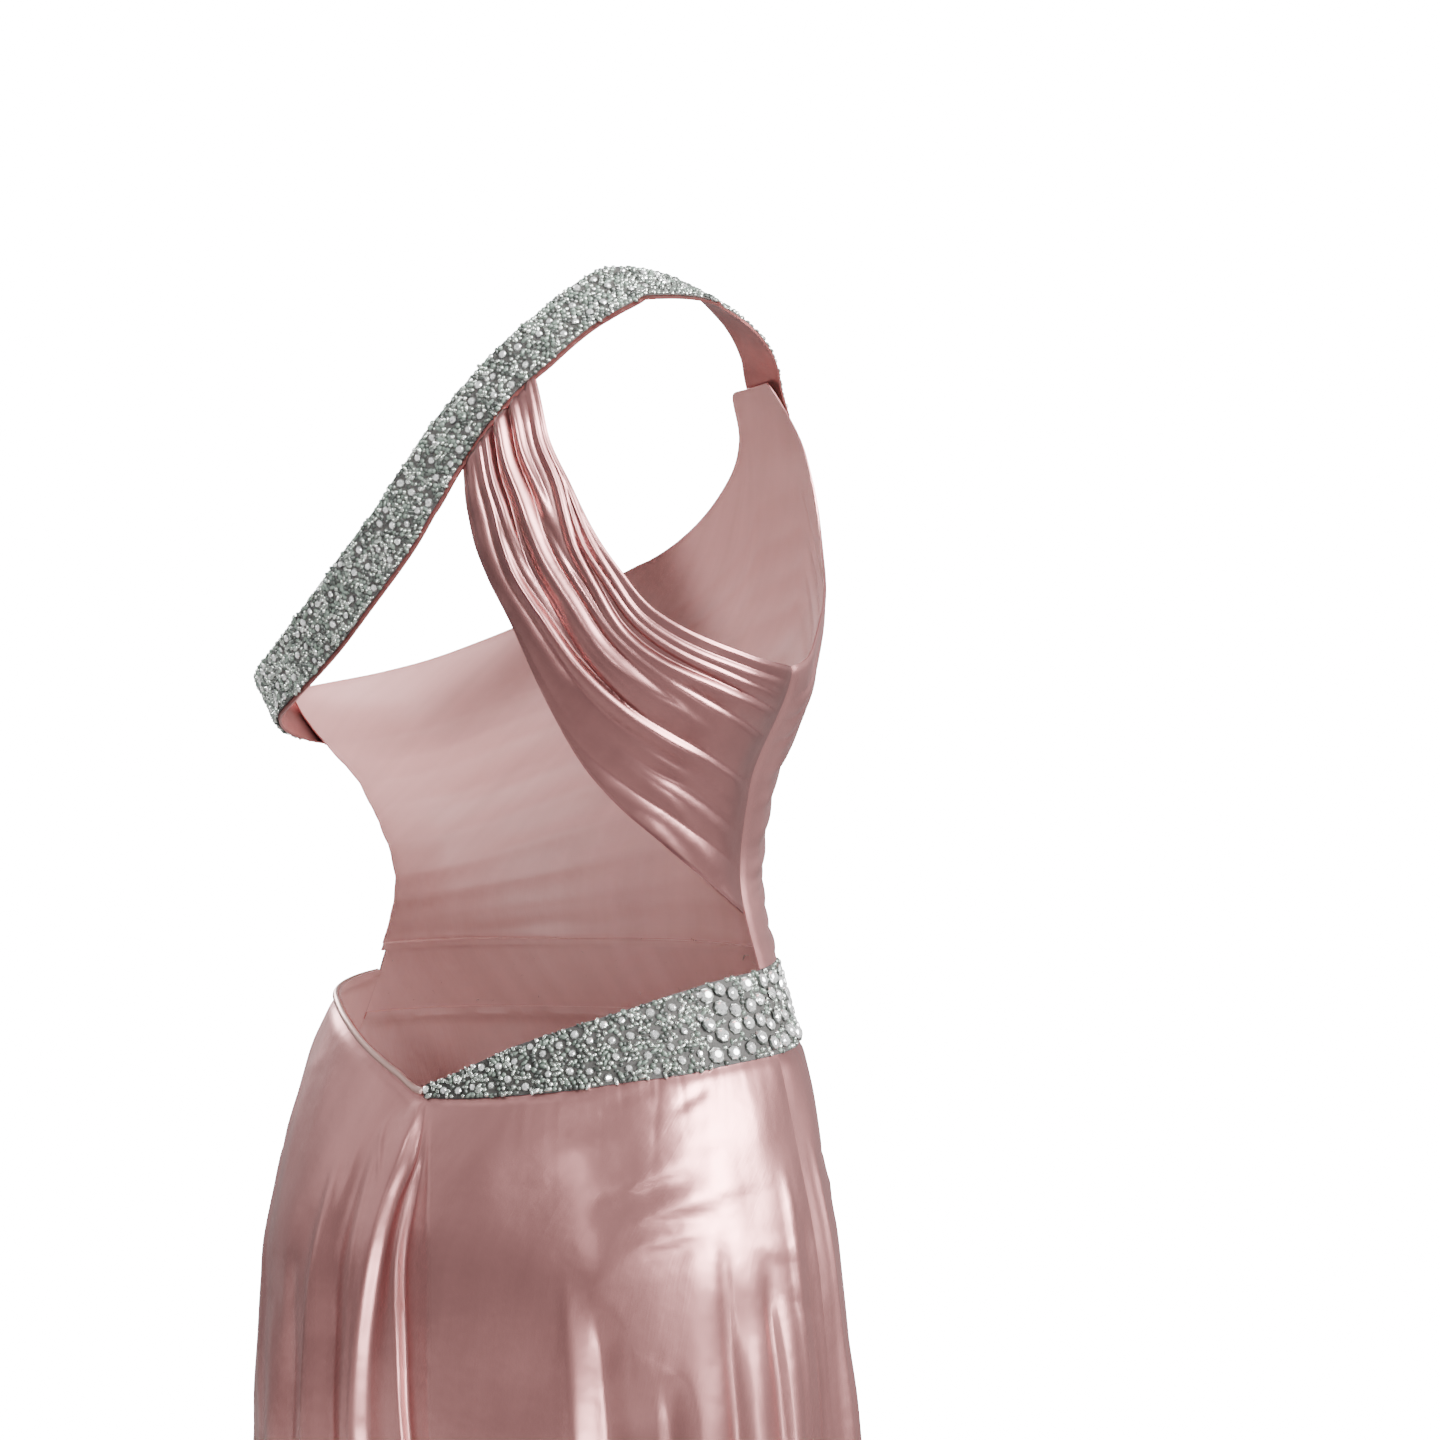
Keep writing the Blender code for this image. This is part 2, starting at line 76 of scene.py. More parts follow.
# Sizes of the cloth sheets, and their grids as rows and columns
SHEET = 0.0008
SHARP_ANGLE = 60.0
DRAPE_GRID, BODICE_GRID = (250, 140), (120, 150)
RIBBON_GRID, ROLL_GRID = (8, 260), (12, 170)
CROWD_STEPS, BAND_STEPS = 2000, 800
FOLD_CROWD, FOLD_CROWD_HALF = 9.0, 6.0
WRINKLE_CROWD, WRINKLE_CROWD_HALF = 1.5, 30.0
LEVEL_CROWD = 1.35
SEAM_DIP, SEAM_DIP_WIDTH, SEAM_CALM = 0.0010, 0.004, 0.7
BAND_DIP, BAND_DIP_WIDTH = 0.0015, 0.0036
ALLOWANCE, ALLOWANCE_OUT = 0.004, 0.0011
HEM_TALL, HEM_THICKER, HEM_EDGE = 0.022, 0.0003, 0.002
HEM_GROOVE, HEM_GROOVE_WIDTH = 0.0005, 0.0025
EDGE_ROLL, DRAPE_ROLLS, BODICE_ROLLS = 0.0008, (0.012, 0.010), (0.012, 0.006)
RIPPLE_LENGTHS, RIPPLES_EACH, RIPPLES_UP = (0.085, 0.062, 0.047, 0.036, 0.028), 3, 0.6
SKIRT_RIPPLES, BODICE_RIPPLES, DRAPE_RIPPLES = 0.0028, 0.0024, 0.0022
SKIRT_CALM, BODICE_CALM = 0.03, (0.05, 0.03)
CREASE_BEGINS, CREASE_FADES = 0.030, 0.45
WRINKLE_PAST, WRINKLE_FADES = 0.006, 0.35
PLEAT_BLEND, PLEAT_FOOT = 2.5, 1.5
LIP_POWER = 1.6
DRAPE_FLAT, ROLL_FLAT = (0.25, 0.12), (0.2, 0.002)
BINDING_RADII, ROLL_GAP = (0.0019, 0.0014), 0.1
BACKING_INSET = 0.0030

# Metres of cloth to a degree at the hips, how much more at the hem, and the depths between
DEGREE, DEGREE_WIDENS, WIDENS_BETWEEN = 0.0026, 0.0018, (0.2, 1.0)

# Skirt panels: side seams, grid, and the two angles with more columns, for folds and wrinkles
BACK_PANEL = ((LEFT_SEAM, RIGHT_SEAM), (190, 250), (-5.0, 45.0))
FRONT_PANEL = ((RIGHT_SEAM, LEFT_SEAM + FULL_TURN), (160, 200), (180.0, 115.0))

# Gathers under the waist seam: spacing, wander and half width in degrees, length in metres, rise
# in millimetres, lean in degrees to a metre, and how much of them shows left of an angle
PUCKER_SPACING, PUCKER_WANDER, PUCKER_HALF = 2.4, 1.0, 0.7
PUCKER_LONG, PUCKER_RISE, PUCKER_LEAN = (0.006, 0.024), (-0.5, 0.6), 60.0
PUCKERS_FROM, PUCKERS_LEFT = 8.0, 0.3

# Beads, and the rings of a bead and a stone: radius and height, in the bead's or stone's radii
BEAD_PITCH, BEAD_LINES, BEAD_UNEVEN = 0.0028, 0.87, 0.10
BEAD_RADIUS = 0.0014
BEAD_WIDTHS, BEAD_HEIGHTS, BEAD_LIFTS = (0.82, 1.18), (0.8, 1.5), (-0.0002, 0.0003)
BEAD_KINDS = (0.40, 0.28, 0.22, 0.10)
ROD_SHARE, ROD_STRETCH, ROD_NARROWS = 0.34, 1.7, 0.8
BEAD_TILT, STONE_TILT = 0.22, 0.14
STUD_SIDES, STUDS_SINK = 8, 0.0001
BEAD_RINGS = ((1.0, 0.0), (0.84, 0.62))
STONE_RINGS = ((1.16, 0.0), (1.12, 0.34), (1.0, 0.30), (0.80, 0.62), (0.50, 0.80))
BAND_OVERLAP = 0.0010

# Stones of the strap and of the band's three parts: number at most, how far they keep from each
# other and from the edges, and radius. The larger ones lie between two angles.
STONE_RADIUS, STONE_TALL = 0.0019, 1.05
STONE_TRIES, STONE_ROOM, STONES_END = 40, 2.2, 0.008
STONE_CLEARS, BEAD_CLEARS = 1.18, 0.75
BIG_STONES = (66.0, 150.0)
STRAP_STONES = ((110, 0.0085, 0.0035, STONE_RADIUS),)
BAND_STONES = (
    (45, 0.0085, 0.0030, STONE_RADIUS),
    (90, 0.0080, 0.0042, 0.0036),
    (90, 0.0095, 0.0040, STONE_RADIUS),
)
SEED = 7

# Colours of the satin
SATIN = (0.525, 0.238, 0.234)
SATIN_INSIDE = (0.400, 0.190, 0.180)
SATIN_DEEP = (0.420, 0.150, 0.140)
SATIN_PALE = (0.560, 0.350, 0.320)
# The drape is the skirt's satin darkened by this factor: painted shade over the whole drape, not a
# different cloth
DRAPE_PAINTED_SHADE = 0.60

# Studio. A lamp's row: angle round the dress, distance, height, place that it faces, size, watts
# and spread.
LENS, SENSOR = 67.5, 36.0
CAMERA_PLACE, CAMERA_WAY = (-0.86036, 1.22873, 0.0), (0.5235, -0.8500, 0.0592)
FLOOR_RADIUS, FLOOR_SIDES, FLOOR_GAP = 3.2, 96, 0.004
FLOOR_COLOUR = (0.93, 0.92, 0.91)
BACKDROP = 18.0
LAMPS = {
    "key": (89.0, 2.2, 1.05, (0, 0, 0.60), (2.1, 1.6), 68.0, 66.0),
    "fill": (-60.0, 3.2, 1.0, (0, 0, 0), (2.0, 2.0), 2.2, 90.0),
    "back": (14.0, 2.6, 0.90, (0, 0, 0.40), (0.7, 0.8), 2.3, 12.0),
    "low": (60.0, 1.6, -0.85, (0, 0.1, -0.27), (0.45, 0.50), 0.32, 18.0),
    "front": (248.0, 2.8, 1.7, (0, 0, 0.60), (2.2, 1.4), 24.0, 60.0),
}
CEILING_LAMP = (2.2, 2.5, (0, 0, 0), (0.12, 0.12), 1.2, 180.0)
CEILING_TURNS = (-75.0, -45.0, -15.0, 55.0, 68.0, 82.0, 100.0)


def table(columns, *rows):
    """A short table as a dictionary: one array for each named column."""
    return dict(zip(columns.split(), np.array(rows, float).T))


FIGURE = table(
    "height centre_x centre_y half_width back front squareness",
    (-1.040, 0.000, 0.020, 0.257, 0.231, 0.184, 2.1),
    (-0.900, 0.000, 0.016, 0.235, 0.201, 0.166, 2.1),
    (-0.700, -0.002, 0.012, 0.208, 0.163, 0.137, 2.2),
    (-0.500, -0.004, 0.008, 0.187, 0.134, 0.112, 2.3),
    (-0.340, -0.005, 0.006, 0.174, 0.119, 0.096, 2.3),
    (-0.270, -0.005, 0.008, 0.169, 0.123, 0.094, 2.3),
    (-0.200, -0.005, 0.010, 0.163, 0.126, 0.095, 2.3),
    (-0.150, -0.004, 0.010, 0.154, 0.118, 0.096, 2.3),
    (-0.100, -0.003, 0.008, 0.142, 0.103, 0.094, 2.3),
    (-0.050, -0.002, 0.004, 0.124, 0.088, 0.088, 2.3),
    (0.000, 0.000, 0.000, 0.111, 0.080, 0.082, 2.3),
    (0.050, 0.005, 0.004, 0.124, 0.082, 0.089, 2.3),
    (0.110, 0.015, 0.012, 0.164, 0.087, 0.108, 2.3),
    (0.170, 0.014, 0.018, 0.172, 0.091, 0.122, 2.3),
    (0.230, 0.012, 0.024, 0.170, 0.088, 0.108, 2.3),
    (0.275, 0.011, 0.028, 0.158, 0.078, 0.084, 2.1),
    (0.307, 0.010, 0.030, 0.117, 0.065, 0.067, 2.0),
    (0.329, 0.009, 0.030, 0.076, 0.061, 0.061, 2.0),
    (0.348, 0.008, 0.030, 0.058, 0.057, 0.057, 2.0),
)
WAIST_SEAM = table(
    "angle height",
    (-90.0, -0.0554), (-65.0, -0.0628), (-46.0, -0.0695), (-33.5, -0.0782), (-19.0, -0.0922),
    (-8.5, -0.1036), (LOW_BACK_ANGLE, -0.1117), (5.5, -0.1112), (13.5, -0.1093), (26.5, -0.1062),
    (42.5, -0.1012), (60.0, -0.0973), (69.0, -0.0945), (90.0, -0.0905), (120.0, -0.0845),
    (150.0, -0.0800), (180.0, -0.0780), (225.0, -0.0780), (270.0, -0.0800),
)
BAND_HEIGHT = table(
    "angle tall",
    (LOW_BACK_ANGLE, 0.0053), (6.0, 0.0156), (14.0, 0.0228), (27.0, 0.0298), (42.5, 0.0343),
    (60.0, 0.0394), (88.0, 0.0415), (150.0, 0.0430), (270.0, 0.0430),
)
STRAP_PATH = table(
    "angle height width out",
    (-98.0, 0.0945, 0.030, 0.0036), (-80.0, 0.0985, 0.030, 0.0034), (-62.0, 0.1045, 0.031, 0.0020),
    (-43.7, 0.1128, 0.031, 0.0013), (-23.9, 0.1348, 0.033, 0.0013), (-11.7, 0.1609, 0.033, 0.0013),
    (-3.4, 0.1867, 0.032, 0.0013), (3.5, 0.2230, 0.029, 0.0013), (10.5, 0.2470, 0.027, 0.0013),
    (20.9, 0.2712, 0.028, 0.0013), (39.0, 0.2969, 0.031, 0.0014), (62.0, 0.3105, 0.032, 0.0015),
    (96.0, 0.3110, 0.033, 0.0018), (120.0, 0.2935, 0.032, 0.0030), (133.0, 0.2745, 0.031, 0.0036),
    (138.0, 0.2565, 0.031, 0.0036),
)
DRAPE_EDGES = table(
    "along upper_angle upper_height lower_angle lower_height",
    (0.00, 21.6, 0.2692, 6.6, 0.2250),
    (0.05, 22.4, 0.2588, 7.2, 0.2140),
    (0.15, 23.8, 0.2308, 7.8, 0.1975),
    (0.27, 29.0, 0.2001, 9.2, 0.1770),
    (0.38, 34.3, 0.1739, 11.6, 0.1566),
    (0.48, 39.2, 0.1567, 16.0, 0.1308),
    (0.58, 45.5, 0.1401, 22.2, 0.0942),
    (0.68, 56.5, 0.1268, 30.6, 0.0637),
    (0.78, 69.0, 0.1188, 41.5, 0.0405),
    (0.89, 81.0, 0.1142, 60.0, 0.0165),
    (1.00, 93.0, 0.1123, 93.0, -0.0180),
)
FRONT_TOP = table(
    "along angle height",
    (0.00, 93.0, 0.1123), (0.08, 101.0, 0.1190), (0.16, 111.0, 0.1450), (0.24, 119.5, 0.1880),
    (0.31, 125.0, 0.2310), (0.37, 129.0, 0.2705), (0.44, 144.0, 0.2705), (0.50, 151.0, 0.2470),
    (0.60, 168.0, 0.2070), (0.72, 195.0, 0.1670), (0.85, 232.0, 0.1310), (1.00, 272.0, 0.1120),
)

# Pleats of the drape. place0 to place5 give where a pleat runs across the drape (0 upper edge,
# 1 lower edge) at six stations from the strap to the side, rise0 to rise5 how high it stands
# there in millimetres, and upper and lower its half widths on its two sides.
PLEATS = table(
    "place0 place1 place2 place3 place4 place5 rise0 rise1 rise2 rise3 rise4 rise5 upper lower",
    (0.030, 0.030, 0.080, 0.110, 0.100, 0.090, 0.5, 0.8, 1.4, 1.6, 1.4, 1.1, 0.022, 0.022),
    (0.065, 0.045, 0.150, 0.160, 0.150, 0.140, 0.7, 1.0, 1.8, 1.9, 1.8, 1.3, 0.022, 0.024),
    (0.100, 0.090, 0.225, 0.270, 0.230, 0.210, 2.1, 2.4, 3.0, 3.2, 2.9, 2.4, 0.026, 0.050),
    (0.230, 0.190, 0.310, 0.340, 0.330, 0.320, 1.3, 1.4, 1.3, 0.0, 0.0, 0.0, 0.060, 0.070),
    (0.335, 0.285, 0.330, 0.350, 0.350, 0.350, 3.8, 2.9, 0.0, 0.0, 0.0, 0.0, 0.045, 0.045),
    (0.360, 0.360, 0.370, 0.335, 0.330, 0.320, 0.0, 0.0, 1.4, 3.0, 3.0, 2.4, 0.030, 0.042),
    (0.500, 0.445, 0.500, 0.465, 0.410, 0.390, 7.0, 6.3, 5.1, 4.4, 3.6, 3.0, 0.058, 0.072),
    (0.665, 0.635, 0.700, 0.700, 0.700, 0.700, 4.3, 4.5, 1.4, 0.0, 0.0, 0.0, 0.040, 0.075),
    (0.640, 0.620, 0.600, 0.545, 0.490, 0.440, 0.0, 0.0, 0.6, 2.7, 1.3, 0.5, 0.030, 0.035),
    (0.765, 0.720, 0.765, 0.655, 0.560, 0.500, 3.7, 4.0, 4.5, 4.2, 3.7, 2.7, 0.030, 0.060),
    (0.860, 0.850, 0.885, 0.830, 0.740, 0.640, 2.4, 2.7, 2.9, 1.9, 1.1, 0.8, 0.070, 0.070),
    (0.900, 0.880, 0.850, 0.760, 0.660, 0.580, 0.0, 0.0, 0.0, 1.0, 2.1, 1.6, 0.040, 0.045),
    (0.980, 0.970, 0.960, 0.900, 0.790, 0.740, 0.0, 0.0, 0.0, 1.0, 2.2, 1.9, 0.045, 0.060),
    (1.060, 1.050, 1.040, 1.020, 0.950, 0.880, 0.0, 0.0, 0.0, 0.3, 1.3, 1.8, 0.050, 0.060),
)

# Soft folds across the front: place up the piece at five stations from the right side seam to
# the left edge, rise in millimetres at the seam, the middle and the left, and half width
FRONT_FOLDS = table(
    "place0 place1 place2 place3 place4 rise0 rise1 rise2 half",
    (0.860, 0.830, 0.760, 0.780, 0.820, 2.0, 0.8, 0.2, 0.026),
    (0.790, 0.760, 0.690, 0.700, 0.740, 2.2, 1.4, 0.6, 0.028),
    (0.720, 0.690, 0.620, 0.630, 0.670, 2.6, 1.4, 0.4, 0.030),
    (0.660, 0.630, 0.540, 0.560, 0.580, 3.6, 2.6, 1.0, 0.036),
    (0.600, 0.570, 0.490, 0.500, 0.510, 2.6, 1.2, 0.4, 0.028),
    (0.550, 0.520, 0.440, 0.430, 0.430, 3.4, 2.4, 1.0, 0.034),
    (0.490, 0.460, 0.380, 0.370, 0.360, 2.8, 1.4, 0.6, 0.030),
    (0.440, 0.410, 0.340, 0.330, 0.310, 3.6, 2.8, 1.2, 0.036),
    (0.380, 0.350, 0.290, 0.270, 0.260, 2.6, 1.4, 0.4, 0.030),
    (0.325, 0.300, 0.240, 0.230, 0.210, 3.4, 2.4, 1.0, 0.034),
    (0.262, 0.240, 0.200, 0.180, 0.170, 2.4, 1.2, 0.4, 0.030),
    (0.196, 0.180, 0.150, 0.140, 0.120, 2.8, 2.0, 0.8, 0.032),
    (0.130, 0.120, 0.100, 0.090, 0.080, 2.0, 1.2, 0.4, 0.028),
    (0.060, 0.050, 0.050, 0.040, 0.040, 1.6, 1.0, 0.4, 0.026),
)

# Hanging folds of the skirt, as in the part's source: angle at three levels, the heights between
# which a fold grows to its full rise, and rise in metres and half width in degrees at two levels.
# The two under the low back point begin further down, where the main fold's own table ends.
MID_SKIRT, FOLD_TOP = -0.300, -0.120
SKIRT_FOLDS = table(
    "top middle hem begins full rise_middle rise_hem half_middle half_hem",
    (-74, -75, -78, -0.20, -0.30, 0.0050, 0.0260, 6.0, 7.5),
    (-57, -56, -58, -0.18, -0.30, 0.0040, 0.0280, 7.0, 7.5),
    (-40, -39, -40, -0.22, -0.30, 0.0040, 0.0300, 5.0, 7.0),
    (-19, -21.5, -23, -0.15, -0.30, 0.0070, 0.0300, 3.4, 6.0),
    (-2.6, -11, -8, -0.29, -0.46, 0.0110, 0.0340, 3.2, 5.5),
    (0.6, -1.6, 1, -0.29, -0.46, -0.0050, -0.0120, 2.2, 4.0),
    (29.5, 27.5, 13, -0.20, -0.30, 0.0035, 0.0300, 4.0, 6.5),
    (44, 43, 33, -0.26, -0.30, 0.0020, 0.0280, 6.0, 7.0),
    (57, 54, 52, -0.18, -0.30, 0.0060, 0.0320, 6.0, 7.0),
    (72, 67, 69, -0.17, -0.30, 0.0060, 0.0280, 3.8, 6.5),
    (80, 76, 84, -0.17, -0.30, 0.0060, 0.0260, 3.6, 6.5),
    (101, 100, 101, -0.20, -0.30, 0.0050, 0.0280, 5.0, 7.5),
    (118, 118, 119, -0.24, -0.30, 0.0030, 0.0300, 6.0, 7.5),
    (136, 137, 138, -0.28, -0.32, 0.0020, 0.0280, 6.0, 7.5),
    (155, 156, 156, -0.22, -0.30, 0.0040, 0.0320, 5.5, 7.5),
    (174, 174, 175, -0.29, -0.33, 0.0010, 0.0260, 6.0, 7.5),
    (193, 193, 193, -0.26, -0.30, 0.0025, 0.0300, 6.0, 7.5),
    (211, 210, 212, -0.22, -0.30, 0.0035, 0.0280, 6.0, 7.5),
    (229, 228, 231, -0.28, -0.32, 0.0020, 0.0300, 6.0, 7.5),
    (248, 249, 251, -0.20, -0.30, 0.0045, 0.0280, 6.0, 7.5),
)

# The main fold under the low back point, level by level: the angles at which its left foot, rim,
# crest, valley, inner ridge, deep valley and the lip of the flat cloth beside it lie, and how far
# each but the first and last stands out in millimetres. It fades between two depths.
MAIN_FOLD_FADES = (0.290, 0.460)
FOLD_PARTS = "foot rim crest valley ridge deep lip".split()
MAIN_FOLD = table(
    "height foot rim crest valley ridge deep lip rim_out crest_out valley_out ridge_out deep_out",
    (-0.282, -18.0, -12.0, -10.6, -8.2, -2.0, -1.4, 1.8, 4.4, 5.6, -1.8, 1.4, -3.6),
    (-0.238, -16.6, -10.8, -8.8, -6.9, -1.8, -1.2, 2.4, 4.0, 5.0, -1.4, 1.8, -3.6),
    (-0.199, -15.0, -9.8, -6.9, -5.2, -2.0, -1.4, 2.8, 3.5, 4.6, -1.4, 2.0, -3.4),
    (-0.164, -13.2, -9.4, -5.0, -3.4, -1.2, -0.6, 1.8, 2.6, 4.2, -1.2, 1.4, -2.4),
    (-0.137, -11.0, -7.8, -2.8, -0.8, -0.4, 0.1, 0.8, 1.2, 3.6, -1.0, -0.4, -0.8),
    (-0.124, -8.6, -7.4, -2.0, -0.7, -0.4, -0.1, 0.4, 0.3, 2.0, -0.6, -0.3, -0.2),
    (-0.114, -5.0, -4.0, -2.0, -1.0, -0.6, -0.2, 0.4, 0.0, 0.0, 0.0, 0.0, 0.0),
)

# Creases that hang down the skirt: heights of top and foot in millimetres, angle at four levels
# between them, rise in millimetres (below 0 for a trough) at top and foot, and half width in
# degrees on the two sides
SKIRT_CREASES = table(
    "top foot angle0 angle1 angle2 angle3 rise_top rise_foot left right",
    (-160, -440, -15.6, -16.8, -17.8, -18.6, -1.4, -2.6, 1.6, 2.2),
    (-122, -160, -8.9, -8, -7.2, -6.6, 0.8, 0.6, 0.7, 0.7),
    (-126, -190, -13.2, -14.6, -16.2, -18, 0.5, 1.6, 0.9, 1.2),
    (-140, -460, -18.4, -22.4, -23.6, -25, 2.0, 4.6, 1.0, 1.9),
    (-190, -520, -29, -32.5, -35.5, -36, -2.0, -5.0, 2.0, 2.4),
    (-205, -500, 34.5, 34.6, 34, 25, -2.4, -4.0, 2.0, 3.0),
    (-190, -460, 28.6, 28, 27, 26, 1.8, 3.4, 1.2, 2.4),
    (-240, -460, 47.5, 47, 46, 44, -1.2, -3.0, 1.8, 1.8),
    (-170, -450, 62.5, 61.5, 60, 60, -1.4, -3.4, 1.8, 1.8),
    (-190, -500, 73.5, 73.2, 71.5, 76, -1.8, -3.0, 1.4, 1.4),
    (-140, -420, 83.5, 82, 80.5, 81, 1.4, 2.4, 1.2, 1.2),
    (-160, -460, 87.2, 87.6, 87, 88, -1.8, -3.0, 1.2, 1.2),
    (-130, -520, 96.5, 96, 95, 94, 1.2, 2.8, 1.6, 1.6),
    (-110, -500, 111, 110, 109, 110, -1.4, -3.0, 1.8, 2.0),
    (-110, -400, 124, 126, 127, 128, 1.2, 2.6, 1.6, 2.2),
    (-130, -460, 147, 146, 146, 147, -1.4, -3.4, 2.0, 2.0),
    (-100, -380, 163, 164, 166, 166, 1.4, 2.4, 1.8, 1.6),
    (-105, -460, 183, 183, 184, 184, 1.0, 3.0, 1.4, 2.0),
    (-120, -420, 202, 202, 201, 202, -1.4, -3.2, 2.0, 1.8),
    (-100, -400, 219, 220, 219, 221, 1.4, 2.6, 1.8, 1.8),
    (-110, -440, 239, 239, 240, 240, -1.2, -3.2, 1.8, 2.0),
    (-100, -420, 258, 259, 260, 261, 1.2, 2.6, 1.8, 1.6),
    (-100, -420, -66, -66, -66, -67, -1.0, -3.0, 2.4, 2.0),
    (-90, -360, -50, -50, -49, -49, 0.8, 2.4, 2.4, 2.0),
)

# Short wrinkles of the skirt, each from one place to another: heights, rise and half width in
# millimetres
WRINKLES = table(
    "angle0 height0 angle1 height1 rise half",
    (34, -164, 50, -156, -1, 5),
    (41, -158, 60.5, -146.5, -1.1, 5.2),
    (34, -157, 56, -140, 0.8, 5.6),
    (39, -175, 63.5, -166.8, -1.2, 5.2),
    (38, -165, 62, -157.5, 0.7, 5),
    (40, -181, 60, -172.5, 0.7, 4.6),
    (41, -187, 59, -179, -1, 4.6),
    (52, -118, 63.5, -104.5, -1, 3.4),
    (48, -123, 62, -111, 0.6, 4),
    (37, -112, 49.5, -105, -0.8, 3),
    (26, -138, 45, -124, 0.5, 7),
    (55, -135, 72, -127, -0.5, 4),
    (60, -156, 76, -150, 0.5, 4.5),
    (76, -208, 92, -225, -0.8, 3),
    (70, -183, 86, -190, 0.6, 4),
    (100, -150, 122, -140, -0.9, 3.6),
    (104, -164, 126, -158, 0.7, 4),
    (108, -175, 124, -173, -0.8, 3.6),
    (206, -150, 226, -160, -0.8, 3.8),
    (214, -136, 236, -146, 0.6, 4.2),
    (232, -172, 250, -182, -0.8, 3.8),
    (-62, -150, -44, -140, -0.6, 4),
    (-70, -166, -50, -158, 0.5, 4.4),
    (-52, -104, -36, -98, 0.4, 4),
)


def smooth(places, values, at):
    """A cubic curve through the values that makes no humps of its own, held flat past its ends."""
    step = np.diff(places)
    rise = np.diff(values) / step
    slope = np.zeros(len(places))
    slope[0], slope[-1] = rise[0], rise[-1]
    before, after = 2 * step[1:] + step[:-1], step[1:] + 2 * step[:-1]
    same_way = rise[1:] * rise[:-1] > 0
    safe = np.where(same_way[:, None], np.stack([rise[:-1], rise[1:]], 1), 1.0)
    mean = (before + after) / (before / safe[:, 0] + after / safe[:, 1])
    slope[1:-1] = np.where(same_way, mean, 0.0)
    at = np.clip(at, places[0], places[-1])
    row = np.clip(np.searchsorted(places, at) - 1, 0, len(step) - 1)
    t = (at - places[row]) / step[row]
    start = values[row] * (1 + 2 * t) * (1 - t) ** 2 + step[row] * slope[row] * t * (1 - t) ** 2
    end = values[row + 1] * (3 - 2 * t) * t**2 - step[row] * slope[row + 1] * (1 - t) * t**2
    return start + end


def read(rows, at):
    """The other columns of a table, at places in its first column."""
    first, *others = rows
    return {name: smooth(rows[first], rows[name], at) for name in others}


def rows_of(columns):
    """The rows of a table, each as a dictionary."""
    for values in zip(*columns.values()):
        yield dict(zip(columns, values))


def stations(row, name, count):
    return np.array([row[f"{name}{i}"] for i in range(count)])


def ease(value, low, high):
    """0 below low, 1 above high, with a soft change between."""
    t = np.clip((value - low) / (high - low), 0.0, 1.0)
    return t * t * (3 - 2 * t)


def unit(vectors):
    return vectors / np.linalg.norm(vectors, axis=-1, keepdims=True)


def figure_ring(angle, height):
    """Points of the figure itself."""
    ring = read(FIGURE, height)
    turn = np.radians(angle)
    side, back = np.sin(turn), np.cos(turn)
    power = 2 / ring["squareness"]
    depth = np.where(back > 0, ring["back"], ring["front"])
    x = ring["centre_x"] - ring["half_width"] * np.sign(side) * np.abs(side) ** power
    y = ring["centre_y"] + depth * np.sign(back) * np.abs(back) ** power
    return np.stack(np.broadcast_arrays(x, y, height), -1)


def figure_normal(angle, height):
    """Outward direction of the figure, taken over a small patch."""
    turn, climb = 1.5, 0.002
    round_it = figure_ring(angle + turn, height) - figure_ring(angle - turn, height)
    up_it = figure_ring(angle, height + climb) - figure_ring(angle, height - climb)
    return unit(np.cross(round_it, up_it))


def on_figure(angle, height, out=0.0):
    """Points at an angle and a height, moved out from the figure."""
    angle, height, out = np.broadcast_arrays(angle, height, out)
    return figure_ring(angle, height) + figure_normal(angle, height) * out[..., None]


SEAT = on_figure(SEAT_ANGLE, SEAT_HEIGHT, SEAT_OUT)


def bump(distance, half_width):
    """A soft ridge of height 1."""
    return np.exp(-((distance / half_width) ** 2))


def apart(angle, centre):
    """Signed angle from a centre, in degrees, the short way round."""
    return (angle - centre + FULL_TURN / 2) % FULL_TURN - FULL_TURN / 2


def grid(rows, columns):
    """Rows and columns of a piece, each from 0 to 1."""
    return np.meshgrid(np.linspace(0, 1, rows + 1), np.linspace(0, 1, columns + 1), indexing="ij")


def circle(sides, shift=0.0):
    """Points round a circle of radius 1."""
    turn = np.arange(sides) * 2 * math.pi / sides + shift
    return np.stack([np.cos(turn), np.sin(turn), np.zeros(sides)], 1)


def runs_along(points, axis=0):
    """Lengths along lines of points, each from the line's first point."""
    first = np.take(points, [0], axis)
    steps = np.linalg.norm(np.diff(points, axis=axis, prepend=first), axis=-1)
    return np.cumsum(steps, axis=axis)


# Materials


def new_shader(name, colour, roughness, **fixed):
    """A material's node tree and its main shader, with the constant values set on the shader."""
    material = bpy.data.materials.new(name)
    material.use_nodes = True
    tree = material.node_tree
    shader = tree.nodes["Principled BSDF"]
    shader.inputs["Base Color"].default_value = (*colour, 1.0)
    shader.inputs["Roughness"].default_value = roughness
    for socket, value in fixed.items():
        shader.inputs[socket.replace("_", " ")].default_value = value
    return material, tree, shader


def place_node(tree, kind, links=(), **values):
    """A node with its inputs: constant values, and links as pairs of an input and an output."""
    node = tree.nodes.new(kind)
    for name, value in values.items():
        node.inputs[name.replace("_", " ")].default_value = value
    for name, socket in links:
        tree.links.new(socket, node.inputs[name])
    return node


def noise(tree, coordinate, scale, detail, stretch=(1.0, 1.0, 1.0)):
    mapping = place_node(tree, "ShaderNodeMapping", [("Vector", coordinate)], Scale=stretch)
    vector = [("Vector", mapping.outputs["Vector"])]
    return place_node(tree, "ShaderNodeTexNoise", vector, Scale=scale, Detail=detail).outputs["Fac"]


